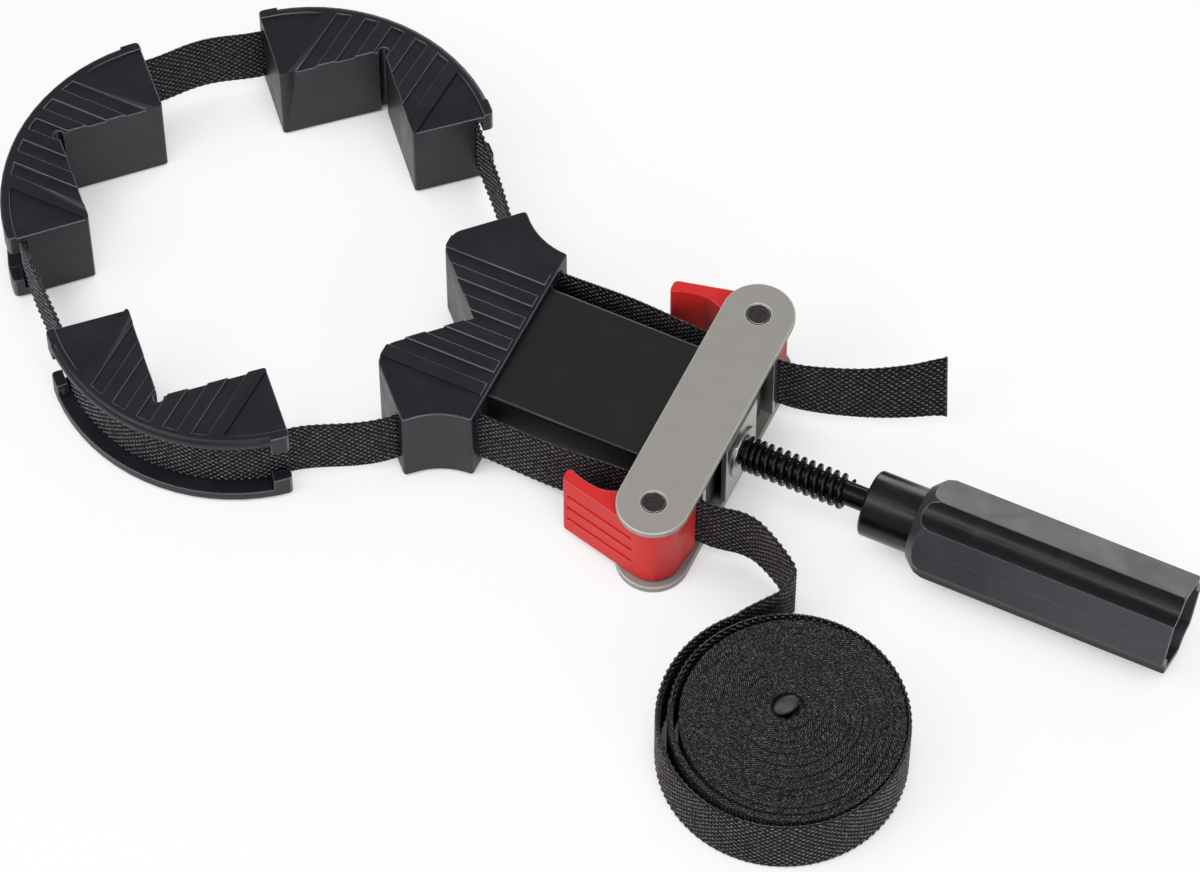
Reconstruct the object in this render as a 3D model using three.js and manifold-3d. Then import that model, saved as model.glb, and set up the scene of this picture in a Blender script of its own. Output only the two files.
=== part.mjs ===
// Band clamp with a screw pusher, two sprung cam levers, three loose corner jaws and a long flat strap.
// Millimetres. +Z is up and +X runs along the spindle towards the handle. The clamp lies flat on z = 0.
// The origin is on the underside of the lower frame plate, midway between the two lever pins.

import * as THREE from 'three';
import { mergeVertices } from 'three/addons/utils/BufferGeometryUtils.js';
import Module from 'manifold-3d';

const wasm = await Module();
wasm.setup();

// Units and shared clearances
const degree = Math.PI / 180;
const fitGap = 0.3; // between two pieces that touch on the real clamp
const slideGap = 0.45; // on each side of the strap where it slides
const overrun = 4; // how far a cutter runs past the face that it cuts

// Spindle axis above the ground, which is also the middle height of every piece
const axisHeight = 17.5;

// Strap
const strapWidth = 25;
const strapThickness = 1.2;
const strapLine = 29.8; // middle of the strap from the spindle axis, inside the frame

// Frame plates and the rivets that carry the levers
const pivotOffset = 40;
const plateHalfWidth = 12.1;
const plateThickness = 2.5;
const rivetHeadRadius = 3.8;
const rivetHeadCrown = 0.15; // how far the rivet head stays below the plate face
const pinRadius = 3;

// Anvils, the flat steel walls that the levers press the strap against
const anvilThickness = 2.5;
const anvilSetback = 1.4; // from the front edge of the plates
const anvilLeadRadius = 1.2;

// Steel bracket between the plates, with the nut that the spindle turns in
const bracketHalfWidth = 11.5;
const bracketThickness = 2;
const bracketStandOff = 0.6; // past the rear edge of the plates
const bracketBossRadius = 8.8;
const bracketBossHeight = 0.9;
const bracketFlangeLength = 16;
const bracketFlangeThickness = 1.3;
const nutAcrossFlats = 13;
const nutThickness = 6.5;

// Cam levers, drawn round their pin with +x to the rear and +y away from the spindle
const leverHeight = 28.5;
const leverPlay = 0.75; // above and below the lever, to the plates
const leverHubRadius = 9.8;
const leverGripRadius = 9.25; // hub radius on the strap side
const leverNoseReach = 10.9; // rearmost point of the toothed nose
const leverNoseRise = 8.3; // from the strap to where the hub runs into the nose
const leverTabReach = 31; // from the pin to the tip of the thumb tab
const leverTabOut = 2.7; // outer corner of the tip, from the pin line
const leverTabThickness = 4.6;
const leverTabRound = 1.6;
const leverWaistReach = 18; // where the hollow inner face of the tab is deepest
const leverWaistOut = 0.6;
const leverToothPitch = 1.9;
const leverToothDepth = 0.7;
const leverToothCount = 5;
const leverGrooveCount = 3;
const leverGroovePitch = 6.6;
const leverGrooveDrop = 0.8; // of the middle groove below the spindle axis
const leverGrooveWidth = 2;
const leverGrooveDepth = 1;
const leverGrooveInset = 2; // from the tip of the tab
const leverPocketRadius = 6.2;
const leverPocketDepth = 9;
const leverSlotWidth = 2.2;
const leverSlotReach = 17;
const leverSpringWire = 1.1;
const leverSpringCoilRadius = 4.8;
const leverSpringPitch = 1.6;
const leverSpringTurns = 4;
const leverSpringLegReach = 15.5;

// Pusher head, the fixed corner of the frame that the work sits in
const headHeight = 33;
const headBack = -66.5; // rear face of the head
const headDepth = 16.9; // from the rear face to the inner corner of the V
const headArm = 20.6; // each V face in X and in Y
const headTipFlat = 7.6; // blunt tip beside the V
const headTipRound = 2.2;
const headLipReach = 17.6; // slanted front edge in X and in Y, tip to guide lip
const headLipWidth = 2.35; // from the front edge to the guide's outer wall
const headLipRound = 3;
const headBackRound = 2.5;
const guideRadius = 30; // middle of the strap where the guide bends it
const guideTurn = 51; // degrees that the guide bends the strap
const guideWall = 4.4;
const guideStrapLine = 30.6; // strap to the spindle axis at the rear of the head
const ribPitch = 9.45;
const ribWidth = 5;
const ribHeight = 0.8;
const ribCount = 6;
const ribSetback = 1.1; // from the rear face of the head

// Pusher shank, the flat sliding block between the plates
const shankHalfWidth = 23.6;
const shankHeight = 26;
const shankSeat = 11.5; // length inside the head
const shankRearGap = 2; // to the bracket when the pusher is home
const shankEdgeRadius = 1.2;
const shankPocketFront = -36;
const shankPocketRear = -22;
const shankPocketHalfWidth = 10;
const shankPocketRoof = 9; // above the spindle axis

// Spindle, its thrust washer and its retaining clip
const spindleRadius = 4;
const spindleGap = 0.4; // round the spindle in each hole that it turns in
const spindleTipChamfer = 1;
const spindleSeat = 20; // length inside the handle
const washerRadius = 8;
const washerThickness = 2;
const clipRadius = 6.4;
const clipThickness = 1.1;
const clipGrooveDepth = 0.8;
const clipMouth = 4.6;

// Spring on the spindle
const springMeanRadius = 5.75;
const springWire = 1.6;
const springCoils = 13;
const springClosedCoils = 2.5;
const springClosedPitch = 2.1;
const springLength = 35.5;

// Handle
const collarFront = 58;
const collarRadius = 11.1;
const collarLength = 17.6;
const collarChamfer = 0.8;
const gripLength = 90.5;
const gripAcrossFlats = 29.8;
const gripFlatWidth = 15.2;
const gripFluteDepth = 1.7;
const gripRoll = 64; // degrees, flats turned about the spindle
const gripShoulderLength = 7.5;
const gripShoulderRadius = 12.2;
const gripEndRound = 0.8;
const gripWall = 2;
const gripHollowDepth = 62;

// Corner jaws, drawn with the inner corner at zero and +x towards the work
const jawHeight = 33;
const jawRimRadius = 64;
const jawBack = 13.1; // from the inner corner to the rim
const jawStrapRecess = 5.6; // strap below the rim
const jawRimBand = 3.4;
const jawHookLength = 6.5;
const jawHookOpening = 15.8; // strap stays behind the hooks, which leave this height open
const jawHookGap = 1.1; // from the strap to the hook
const jawReliefRadius = 1.7;
const jawTipRound = 1.2;
const jawRimRound = 1.8; // outer corners at the ends of the rim
const jawRimEdge = 2; // upper outer edge of the rim, between the hooks

// Lay of the open loop: the square that the four inner corners stand on
const squareSide = 110.7;
const jawDistanceShares = { back: 1.016, far: 1.413, front: 0.952 }; // of the square's side, from the head's corner
const jawDirections = { back: 131.5, far: 177.4, front: -137.6 }; // degrees, seen from the head's corner
const jawFacings = { back: -92.8, far: -0.4, front: 88.4 }; // degrees, from the jaw's corner to the work
const spanBow = 0.3; // how far a span bulges past its smooth curve
const looseSpanBow = 2.2; // the same for the span between the far and the back jaw
const runBow = 1;

// Free end of the strap
const tailReachX = 50.6;
const tailReachY = 21.6;
const tailLean = 17; // degrees at the cut end
const tailSagShares = [[0, 0], [0.12, 0.03], [0.28, 0.13], [0.5, 0.32], [0.66, 0.5], [0.82, 0.72], [0.93, 0.9], [1, 1]];

// Strap roll and the lead to it. The loops lie closest towards the lead: the pack and its core sit off centre.
const rollCentreX = 68;
const rollCentreY = -88.9;
const rollRadius = 40.3;
const rollLoops = 19;
const rollLooseLoops = 2;
const rollPackRadius = 34.6;
const rollPackShiftX = 1.8;
const rollPackShiftY = 1.5;
const rollCoreRadius = 2.4;
const rollCoreShiftX = -1.2;
const rollCoreShiftY = 4.4;
const rollStart = 142; // degrees, where the lead joins the outer loop
const leadShares = [
  [0, 0], [0.054, 0.076], [0.098, 0.176], [0.136, 0.28], [0.203, 0.379], [0.303, 0.455], [0.418, 0.519],
  [0.533, 0.57], [0.62, 0.599], [0.674, 0.593], [0.75, 0.539], [0.827, 0.453], [0.873, 0.333],
  [0.933, 0.174], [0.972, 0.091], [0.986, 0.046], [1, 0],
];

// Values that follow from the sizes above
const frameHalfHeight = leverHeight / 2 + leverPlay + plateThickness;
const frameLow = axisHeight - frameHalfHeight;
const frameTop = axisHeight + frameHalfHeight;
const plateTop = frameLow + plateThickness; // inner face of the lower plate
const innerLow = plateTop + fitGap;
const innerHigh = 2 * axisHeight - innerLow;
const plateEdge = plateHalfWidth;
const strapLow = axisHeight - strapWidth / 2;
const anvilFace = strapLine - strapThickness / 2 - fitGap;
const strapOuterFace = strapLine + strapThickness / 2;
const leverGripOffset = pivotOffset - strapOuterFace - fitGap; // pin to the strap side of the cam
const bracketBack = plateEdge + bracketStandOff;
const bracketFace = bracketBack - bracketThickness;
const nutFront = bracketFace - fitGap - nutThickness;
const shankRear = bracketFace - shankRearGap;
const shankFront = headBack - shankSeat;
const headCorner = headBack - headDepth;
const headTip = headCorner - headArm;
const guideCentreY = guideStrapLine + guideRadius;
const washerFront = shankPocketFront + fitGap;
const spindleTip = washerFront + washerThickness + fitGap;
const clipRear = shankPocketRear - fitGap;
const spindleEnd = collarFront + spindleSeat;
const springStart = bracketBack + bracketBossHeight + fitGap + springWire / 2;
const gripFront = collarFront + collarLength;
const gripEnd = gripFront + gripLength;
const jawArcCentre = jawRimRadius - jawBack;
const jawArm = jawArcCentre / Math.SQRT2; // along each inner face
const jawStrapRadius = jawRimRadius - jawStrapRecess;
const jawCoreRadius = jawStrapRadius - strapThickness / 2 - fitGap;
const strapTurnAngle = 45 * degree; // half of the bend round a corner

// Materials
const blackPlastic = new THREE.MeshStandardMaterial({ color: '#28282c', roughness: 0.45, metalness: 0 });
const blackShank = new THREE.MeshStandardMaterial({ color: '#1d1d20', roughness: 0.35, metalness: 0 });
const greyPlastic = new THREE.MeshStandardMaterial({ color: '#424247', roughness: 0.5, metalness: 0 });
const redPlastic = new THREE.MeshStandardMaterial({ color: '#d5383a', roughness: 0.45, metalness: 0 });
const greyPaint = new THREE.MeshStandardMaterial({ color: '#9b9891', roughness: 0.5, metalness: 0.2 });
const brightSteel = new THREE.MeshStandardMaterial({ color: '#b4b4b2', roughness: 0.3, metalness: 1 });
const darkSteel = new THREE.MeshStandardMaterial({ color: '#4a4649', roughness: 0.5, metalness: 0.9 });
const blackSteel = new THREE.MeshStandardMaterial({ color: '#17171a', roughness: 0.25, metalness: 0.8 });
const webbing = new THREE.MeshStandardMaterial({ color: '#2a2529', roughness: 0.85, metalness: 0 });

// Solids: closed meshes are turned into solids, cut or joined, and turned back into meshes
function solidOf(geometry) {
  const bare = geometry.clone();
  bare.deleteAttribute('normal');
  bare.deleteAttribute('uv');
  const merged = mergeVertices(bare);
  const corners = merged.index.array;
  const kept = [];
  for (let i = 0; i < corners.length; i += 3) {
    const [a, b, c] = [corners[i], corners[i + 1], corners[i + 2]];
    if (a !== b && b !== c && c !== a) kept.push(a, b, c);
  }
  return new wasm.Manifold(new wasm.Mesh({
    numProp: 3,
    vertProperties: new Float32Array(merged.attributes.position.array),
    triVerts: new Uint32Array(kept),
  }));
}

function geometryOf(solid) {
  const result = solid.getMesh();
  const geometry = new THREE.BufferGeometry();
  geometry.setAttribute('position', new THREE.BufferAttribute(new Float32Array(result.vertProperties), 3));
  geometry.setIndex(new THREE.BufferAttribute(new Uint32Array(result.triVerts), 1));
  geometry.computeVertexNormals();
  return geometry;
}

function cut(body, ...tools) {
  return tools.reduce((rest, tool) => rest.subtract(tool), body);
}

function join(first, ...others) {
  return others.reduce((whole, piece) => whole.add(piece), first);
}

function block(x0, x1, y0, y1, z0, z1) {
  const geometry = new THREE.BoxGeometry(x1 - x0, y1 - y0, z1 - z0);
  geometry.translate((x0 + x1) / 2, (y0 + y1) / 2, (z0 + z1) / 2);
  return solidOf(geometry);
}

// A flat outline given a height, from z0 up to z1
function slab(shape, z0, z1, curveSegments = 12) {
  const geometry = new THREE.ExtrudeGeometry(shape, { depth: z1 - z0, bevelEnabled: false, curveSegments });
  geometry.translate(0, 0, z0);
  return solidOf(geometry);
}

// An outline in Y and Z drawn out along X, about the spindle axis
function bar(shape, x0, x1, curveSegments = 12) {
  const geometry = new THREE.ExtrudeGeometry(shape, { depth: x1 - x0, bevelEnabled: false, curveSegments });
  const turn = new THREE.Matrix4().makeBasis(
    new THREE.Vector3(0, 1, 0), new THREE.Vector3(0, 0, 1), new THREE.Vector3(1, 0, 0));
  geometry.applyMatrix4(turn);
  geometry.translate(x0, 0, axisHeight);
  return solidOf(geometry);
}

// A profile of [radius, distance] pairs turned round the Z axis
function turnedOnZ(profile, segments = 32) {
  const points = profile.map(([radius, along]) => new THREE.Vector2(radius, along));
  const geometry = new THREE.LatheGeometry(points, segments);
  geometry.rotateX(Math.PI / 2);
  return solidOf(geometry);
}

// The same profile turned round the spindle axis
function turnedOnSpindle(profile, segments = 32) {
  const points = profile.map(([radius, along]) => new THREE.Vector2(radius, along));
  const geometry = new THREE.LatheGeometry(points, segments);
  geometry.rotateZ(-Math.PI / 2);
  geometry.translate(0, 0, axisHeight);
  return solidOf(geometry);
}

function rodOnSpindle(radius, x0, x1, segments = 32) {
  return turnedOnSpindle([[0, x0], [radius, x0], [radius, x1], [0, x1]], segments);
}

function rodOnZ(radius, z0, z1, segments = 32) {
  return turnedOnZ([[0, z0], [radius, z0], [radius, z1], [0, z1]], segments);
}

// An outline through [x, y, corner radius] points
function roundedOutline(points) {
  const shape = new THREE.Shape();
  const count = points.length;
  points.forEach(([x, y, radius = 0], i) => {
    const [px, py] = points[(i + count - 1) % count];
    const [nx, ny] = points[(i + 1) % count];
    const back = Math.hypot(px - x, py - y);
    const ahead = Math.hypot(nx - x, ny - y);
    const reach = Math.min(radius, back / 2, ahead / 2);
    const entry = [x + (px - x) * reach / back, y + (py - y) * reach / back];
    const exit = [x + (nx - x) * reach / ahead, y + (ny - y) * reach / ahead];
    if (i === 0) shape.moveTo(entry[0], entry[1]);
    else shape.lineTo(entry[0], entry[1]);
    if (reach > 0) shape.quadraticCurveTo(x, y, exit[0], exit[1]);
  });
  shape.closePath();
  return shape;
}

// A ring sector about (centreX, 0), between two radii and two angles
function sector(centreX, inner, outer, from, to, steps) {
  const shape = new THREE.Shape();
  for (let i = 0; i <= steps; i += 1) {
    const angle = from + (to - from) * i / steps;
    const x = centreX + outer * Math.cos(angle);
    const y = outer * Math.sin(angle);
    if (i === 0) shape.moveTo(x, y);
    else shape.lineTo(x, y);
  }
  for (let i = steps; i >= 0; i -= 1) {
    const angle = from + (to - from) * i / steps;
    shape.lineTo(centreX + inner * Math.cos(angle), inner * Math.sin(angle));
  }
  shape.closePath();
  return shape;
}

// A tube of round wire along a list of points, closed at both ends
function wire(points, radius, sides) {
  const positions = [];
  const index = [];
  const count = points.length;
  let normal = null;
  points.forEach((point, i) => {
    const ahead = points[Math.min(i + 1, count - 1)];
    const behind = points[Math.max(i - 1, 0)];
    const tangent = ahead.clone().sub(behind).normalize();
    if (!normal) normal = new THREE.Vector3(0, 0, 1).cross(tangent);
    if (normal.lengthSq() < 1e-6) normal.set(1, 0, 0);
    normal.sub(tangent.clone().multiplyScalar(normal.dot(tangent))).normalize();
    const binormal = tangent.clone().cross(normal);
    for (let s = 0; s < sides; s += 1) {
      const angle = 2 * Math.PI * s / sides;
      const offset = normal.clone().multiplyScalar(radius * Math.cos(angle))
        .add(binormal.clone().multiplyScalar(radius * Math.sin(angle)));
      positions.push(point.x + offset.x, point.y + offset.y, point.z + offset.z);
    }
  });
  for (let i = 0; i < count - 1; i += 1) {
    for (let s = 0; s < sides; s += 1) {
      const a = i * sides + s;
      const b = i * sides + (s + 1) % sides;
      index.push(a, b, b + sides, a, b + sides, a + sides);
    }
  }
  const last = (count - 1) * sides;
  for (let s = 1; s < sides - 1; s += 1) {
    index.push(0, s + 1, s);
    index.push(last, last + s, last + s + 1);
  }
  return closedGeometry(positions, index);
}

function closedGeometry(positions, index) {
  const geometry = new THREE.BufferGeometry();
  geometry.setAttribute('position', new THREE.Float32BufferAttribute(positions, 3));
  geometry.setIndex(index);
  geometry.computeVertexNormals();
  return geometry;
}

// A flat strap standing on edge. A station is a point of its middle line and its lean in degrees.
// The headings at its two ends can be given, so that the next piece of strap lines up.
function strip(stations, firstHeading, lastHeading) {
  const positions = [];
  const index = [];
  const count = stations.length;
  stations.forEach(({ point, lean = 0 }, i) => {
    const ahead = stations[Math.min(i + 1, count - 1)].point;
    const behind = stations[Math.max(i - 1, 0)].point;
    let tangent = ahead.clone().sub(behind).setZ(0).normalize();
    if (i === 0 && firstHeading) tangent = firstHeading.clone();
    if (i === count - 1 && lastHeading) tangent = lastHeading.clone();
    const side = new THREE.Vector3(-tangent.y, tangent.x, 0);
    const up = side.clone().multiplyScalar(Math.sin(lean * degree)).setZ(Math.cos(lean * degree));
    const face = up.clone().cross(tangent).normalize();
    const corners = [[-1, -1], [1, -1], [1, 1], [-1, 1]];
    for (const [across, high] of corners) {
      const corner = point.clone()
        .add(face.clone().multiplyScalar(across * strapThickness / 2))
        .add(up.clone().multiplyScalar(high * strapWidth / 2));
      positions.push(corner.x, corner.y, corner.z);
    }
  });
  for (let i = 0; i < count - 1; i += 1) {
    for (let s = 0; s < 4; s += 1) {
      const a = i * 4 + s;
      const b = i * 4 + (s + 1) % 4;
      index.push(a, b + 4, a + 4, a, b, b + 4);
    }
  }
  const last = (count - 1) * 4;
  index.push(0, 2, 1, 0, 3, 2);
  index.push(last, last + 1, last + 2, last, last + 2, last + 3);
  return closedGeometry(positions, index);
}

// Least clear distance of a wound piece to itself, measured between points more than half a loop apart
function leastGap(points, perLoop, thickness) {
  let least = Infinity;
  for (let i = 0; i < points.length; i += 1) {
    for (let j = i + Math.round(perLoop / 2); j < points.length; j += 1) {
      least = Math.min(least, points[i].distanceTo(points[j]) - thickness);
    }
  }
  return least;
}

const part = new THREE.Group();

function addMesh(name, geometry, material, group = part) {
  const mesh = new THREE.Mesh(geometry, material);
  mesh.name = name;
  group.add(mesh);
  return mesh;
}

function addSolid(name, solid, material, group = part) {
  return addMesh(name, geometryOf(solid), material, group);
}

// Frame: two plates held apart by the rivets, the bracket and the anvils
function plateShape() {
  const shape = new THREE.Shape();
  shape.absarc(0, pivotOffset, plateHalfWidth, 0, Math.PI, false);
  shape.absarc(0, -pivotOffset, plateHalfWidth, Math.PI, 2 * Math.PI, false);
  shape.closePath();
  for (const side of [1, -1]) {
    const hole = new THREE.Path();
    hole.absarc(0, side * pivotOffset, rivetHeadRadius + fitGap, 0, 2 * Math.PI, true);
    shape.holes.push(hole);
  }
  return shape;
}

function addFrame() {
  const plateSteps = 16;
  addSolid('frame_bottom_plate', slab(plateShape(), frameLow, plateTop, plateSteps), greyPaint);
  addSolid('frame_top_plate', slab(plateShape(), frameTop - plateThickness, frameTop, plateSteps), greyPaint);
  for (const [side, name] of [[1, 'left'], [-1, 'right']]) {
    const pin = turnedOnZ([
      [0, frameLow + rivetHeadCrown], [rivetHeadRadius, frameLow + rivetHeadCrown], [rivetHeadRadius, plateTop],
      [pinRadius, plateTop], [pinRadius, frameTop - plateThickness],
      [rivetHeadRadius, frameTop - plateThickness], [rivetHeadRadius, frameTop - rivetHeadCrown],
      [0, frameTop - rivetHeadCrown],
    ], 24);
    addSolid(`pivot_pin_${name}`, pin, darkSteel).position.y = side * pivotOffset;
    const front = -plateEdge + anvilSetback;
    const inner = anvilFace - anvilThickness;
    const wall = roundedOutline([
      [front, inner], [front, anvilFace, anvilLeadRadius], [plateEdge, anvilFace, anvilLeadRadius],
      [plateEdge, inner],
    ].map(([x, y, radius]) => [x, side * y, radius]));
    addSolid(`anvil_plate_${name}`, slab(wall, innerLow, innerHigh, 4), brightSteel);
  }
}

function addBracketAndNut() {
  const w = bracketHalfWidth;
  const flangeFront = bracketBack - bracketFlangeLength;
  const wall = block(bracketFace, bracketBack, -w, w, innerLow, innerHigh);
  const lower = block(flangeFront, bracketFace + bracketThickness / 2, -w, w, innerLow,
    innerLow + bracketFlangeThickness);
  const upper = block(flangeFront, bracketFace + bracketThickness / 2, -w, w,
    innerHigh - bracketFlangeThickness, innerHigh);
  const boss = rodOnSpindle(bracketBossRadius, bracketFace + bracketThickness / 2,
    bracketBack + bracketBossHeight, 32);
  const hole = rodOnSpindle(spindleRadius + spindleGap, bracketFace - overrun, bracketBack + overrun, 24);
  addSolid('nut_bracket', cut(join(wall, lower, upper, boss), hole), brightSteel);

  const hexagon = new THREE.Shape();
  const cornerRadius = nutAcrossFlats / Math.sqrt(3);
  for (let k = 0; k < 6; k += 1) {
    const angle = (60 * k + 30) * degree;
    const corner = [cornerRadius * Math.cos(angle), cornerRadius * Math.sin(angle)];
    if (k === 0) hexagon.moveTo(corner[0], corner[1]);
    else hexagon.lineTo(corner[0], corner[1]);
  }
  hexagon.closePath();
  const nut = bar(hexagon, nutFront, nutFront + nutThickness);
  const thread = rodOnSpindle(spindleRadius + fitGap, nutFront - overrun, bracketFace + overrun, 24);
  addSolid('spindle_nut', cut(nut, thread), darkSteel);
}

// Cam levers with their rivet hole, spring pocket, teeth and grooved thumb tab
function leverShape() {
  const shape = new THREE.Shape();
  const tipX = -leverTabReach;
  const tabIn = leverTabOut - leverTabThickness;
  // The outer face of the tab runs from its tip to a tangent on the hub
  const tipDistance = Math.hypot(leverTabReach, leverTabOut);
  const tipAngle = Math.atan2(leverTabOut, tipX);
  const tangentAngle = tipAngle - Math.acos(leverHubRadius / tipDistance);
  const noseAngle = -Math.asin((leverGripOffset - leverNoseRise) / leverHubRadius);
  shape.moveTo(tipX + leverTabRound, leverTabOut + leverTabRound * Math.tan(tangentAngle - Math.PI / 2));
  shape.absarc(0, 0, leverHubRadius, tangentAngle, noseAngle, true);
  // Teeth along the strap side of the nose
  const toothStart = leverNoseReach - leverToothDepth;
  shape.lineTo(leverNoseReach, -leverGripOffset + leverToothDepth);
  for (let k = 0; k < leverToothCount; k += 1) {
    const x = toothStart - k * leverToothPitch;
    shape.lineTo(x, -leverGripOffset);
    shape.lineTo(x - leverToothPitch, -leverGripOffset + leverToothDepth);
  }
  // Round the strap side at the smaller grip radius, then hollow into the tab
  const gripStart = -Math.acos((toothStart - leverToothCount * leverToothPitch) / leverGripRadius);
  const gripEndAngle = -Math.PI + Math.asin(Math.min(1, leverTabThickness / leverGripRadius));
  shape.absarc(0, 0, Math.min(leverGripRadius, leverGripOffset), gripStart, gripEndAngle, true);
  shape.quadraticCurveTo(-leverGripRadius - leverTabThickness / 2, leverWaistOut - leverTabThickness / 4,
    -leverWaistReach, leverWaistOut);
  shape.quadraticCurveTo((tipX - leverWaistReach) / 2, leverWaistOut, tipX + leverTabRound, tabIn);
  shape.quadraticCurveTo(tipX, tabIn, tipX, tabIn + leverTabRound);
  shape.lineTo(tipX, leverTabOut - leverTabRound);
  shape.quadraticCurveTo(tipX, leverTabOut,
    tipX + leverTabRound, leverTabOut + leverTabRound * Math.tan(tangentAngle - Math.PI / 2));
  return { shape, slope: tangentAngle - Math.PI / 2 };
}

function leverSolid() {
  const low = axisHeight - leverHeight / 2;
  const high = axisHeight + leverHeight / 2;
  const { shape, slope } = leverShape();
  let lever = slab(shape, low, high, 10);
  const pinHole = rodOnZ(pinRadius + fitGap, low - overrun, high + overrun, 24);
  const pocket = rodOnZ(leverPocketRadius, low - overrun, low + leverPocketDepth, 24);
  const legSlot = block(-leverSlotReach, 0, leverSpringCoilRadius - leverSlotWidth / 2,
    leverSpringCoilRadius + leverSlotWidth / 2, low - overrun, low + leverPocketDepth / 2);
  lever = cut(lever, pinHole, pocket, legSlot);
  const faceLength = Math.hypot(leverTabReach, leverTabOut) - leverHubRadius / 2;
  for (let k = 0; k < leverGrooveCount; k += 1) {
    const z = axisHeight - leverGrooveDrop + (k - (leverGrooveCount - 1) / 2) * leverGroovePitch;
    const groove = new THREE.BoxGeometry(faceLength, 2 * leverGrooveDepth, leverGrooveWidth);
    groove.translate(faceLength / 2 + leverGrooveInset, 0, 0);
    groove.rotateZ(slope);
    groove.translate(-leverTabReach, leverTabOut, z);
    lever = cut(lever, solidOf(groove));
  }
  return lever;
}

function leverSpring() {
  const low = axisHeight - leverHeight / 2 + leverSpringWire;
  const points = [new THREE.Vector3(-leverSpringLegReach, leverSpringCoilRadius, low)];
  const steps = leverSpringTurns * 8;
  for (let i = 0; i <= steps; i += 1) {
    const angle = Math.PI / 2 - 2 * Math.PI * i / 8;
    points.push(new THREE.Vector3(leverSpringCoilRadius * Math.cos(angle),
      leverSpringCoilRadius * Math.sin(angle), low + leverSpringPitch * i / 8));
  }
  return wire(points, leverSpringWire / 2, 5);
}

// A mirror image across the XZ plane, with its faces turned to point out again
function mirrored(geometry) {
  const copy = geometry.index ? geometry.toNonIndexed() : geometry.clone();
  const position = copy.attributes.position;
  for (let i = 0; i < position.count; i += 3) {
    const [ax, ay, az] = [position.getX(i + 1), position.getY(i + 1), position.getZ(i + 1)];
    position.setY(i, -position.getY(i));
    position.setXYZ(i + 1, position.getX(i + 2), -position.getY(i + 2), position.getZ(i + 2));
    position.setXYZ(i + 2, ax, -ay, az);
  }
  copy.computeVertexNormals();
  return copy;
}

function addLevers() {
  const lever = geometryOf(leverSolid());
  const spring = leverSpring();
  addMesh('cam_lever_left', lever, redPlastic).position.y = pivotOffset;
  addMesh('lever_spring_left', spring, brightSteel).position.y = pivotOffset;
  addMesh('cam_lever_right', mirrored(lever), redPlastic).position.y = -pivotOffset;
  addMesh('lever_spring_right', mirrored(spring), brightSteel).position.y = -pivotOffset;
}

// Point of a guide arc: the strap bends away from the spindle by the angle
function guidePoint(radius, angle, side) {
  return [headBack - radius * Math.sin(angle), side * (guideCentreY - radius * Math.cos(angle))];
}

// Half of the head: the blunt tip, the slanted front edge and the hollow outer wall round the guide
function headOutline() {
  const wallRadius = guideRadius - strapThickness / 2 - slideGap - guideWall;
  // the slanted edge runs at 45 degrees, so along it y - x keeps the value at the tip
  const edge = headArm + headTipFlat - headTip;
  const wallEdge = edge - headLipWidth * Math.SQRT2;
  const lipAngle = 45 * degree + Math.asin((wallEdge - guideCentreY + headBack) / (wallRadius * Math.SQRT2));
  const half = [[headTip, headArm, headTipRound], [headTip, headArm + headTipFlat, headTipRound]];
  half.push([headTip + headLipReach, headArm + headTipFlat + headLipReach, headLipRound]);
  const wallSteps = 8;
  for (let i = 0; i <= wallSteps; i += 1) {
    const [x, y] = guidePoint(wallRadius, lipAngle * (1 - i / wallSteps), 1);
    half.push([x, y, i === 0 ? headLipRound : i === wallSteps ? headBackRound : 0]);
  }
  const other = half.map(([x, y, radius]) => [x, -y, radius]).reverse();
  return roundedOutline([[headCorner, 0], ...half, ...other]);
}

function guideSlot(side) {
  const shape = new THREE.Shape();
  const near = guideRadius + strapThickness / 2 + slideGap;
  const far = guideRadius - strapThickness / 2 - slideGap;
  const past = Math.atan2(overrun, guideRadius);
  const end = guideTurn * degree + 2 * past;
  const steps = 16;
  const rim = [];
  for (let i = 0; i <= steps; i += 1) rim.push(guidePoint(near, -past + (end + past) * i / steps, side));
  for (let i = steps; i >= 0; i -= 1) rim.push(guidePoint(far, -past + (end + past) * i / steps, side));
  rim.forEach(([x, y], i) => (i === 0 ? shape.moveTo(x, y) : shape.lineTo(x, y)));
  shape.closePath();
  return slab(shape, strapLow - slideGap, strapLow + strapWidth + slideGap);
}

// Raised ribs are what is left when the rest of a face is lowered
function ribField(field, x0, x1, faceZ) {
  let rest = field;
  for (let k = 0; k < ribCount; k += 1) {
    const middle = (k - (ribCount - 1) / 2) * ribPitch;
    rest = cut(rest, block(x0, x1, middle - ribWidth / 2, middle + ribWidth / 2, faceZ - overrun,
      faceZ + overrun));
  }
  return rest;
}

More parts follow.
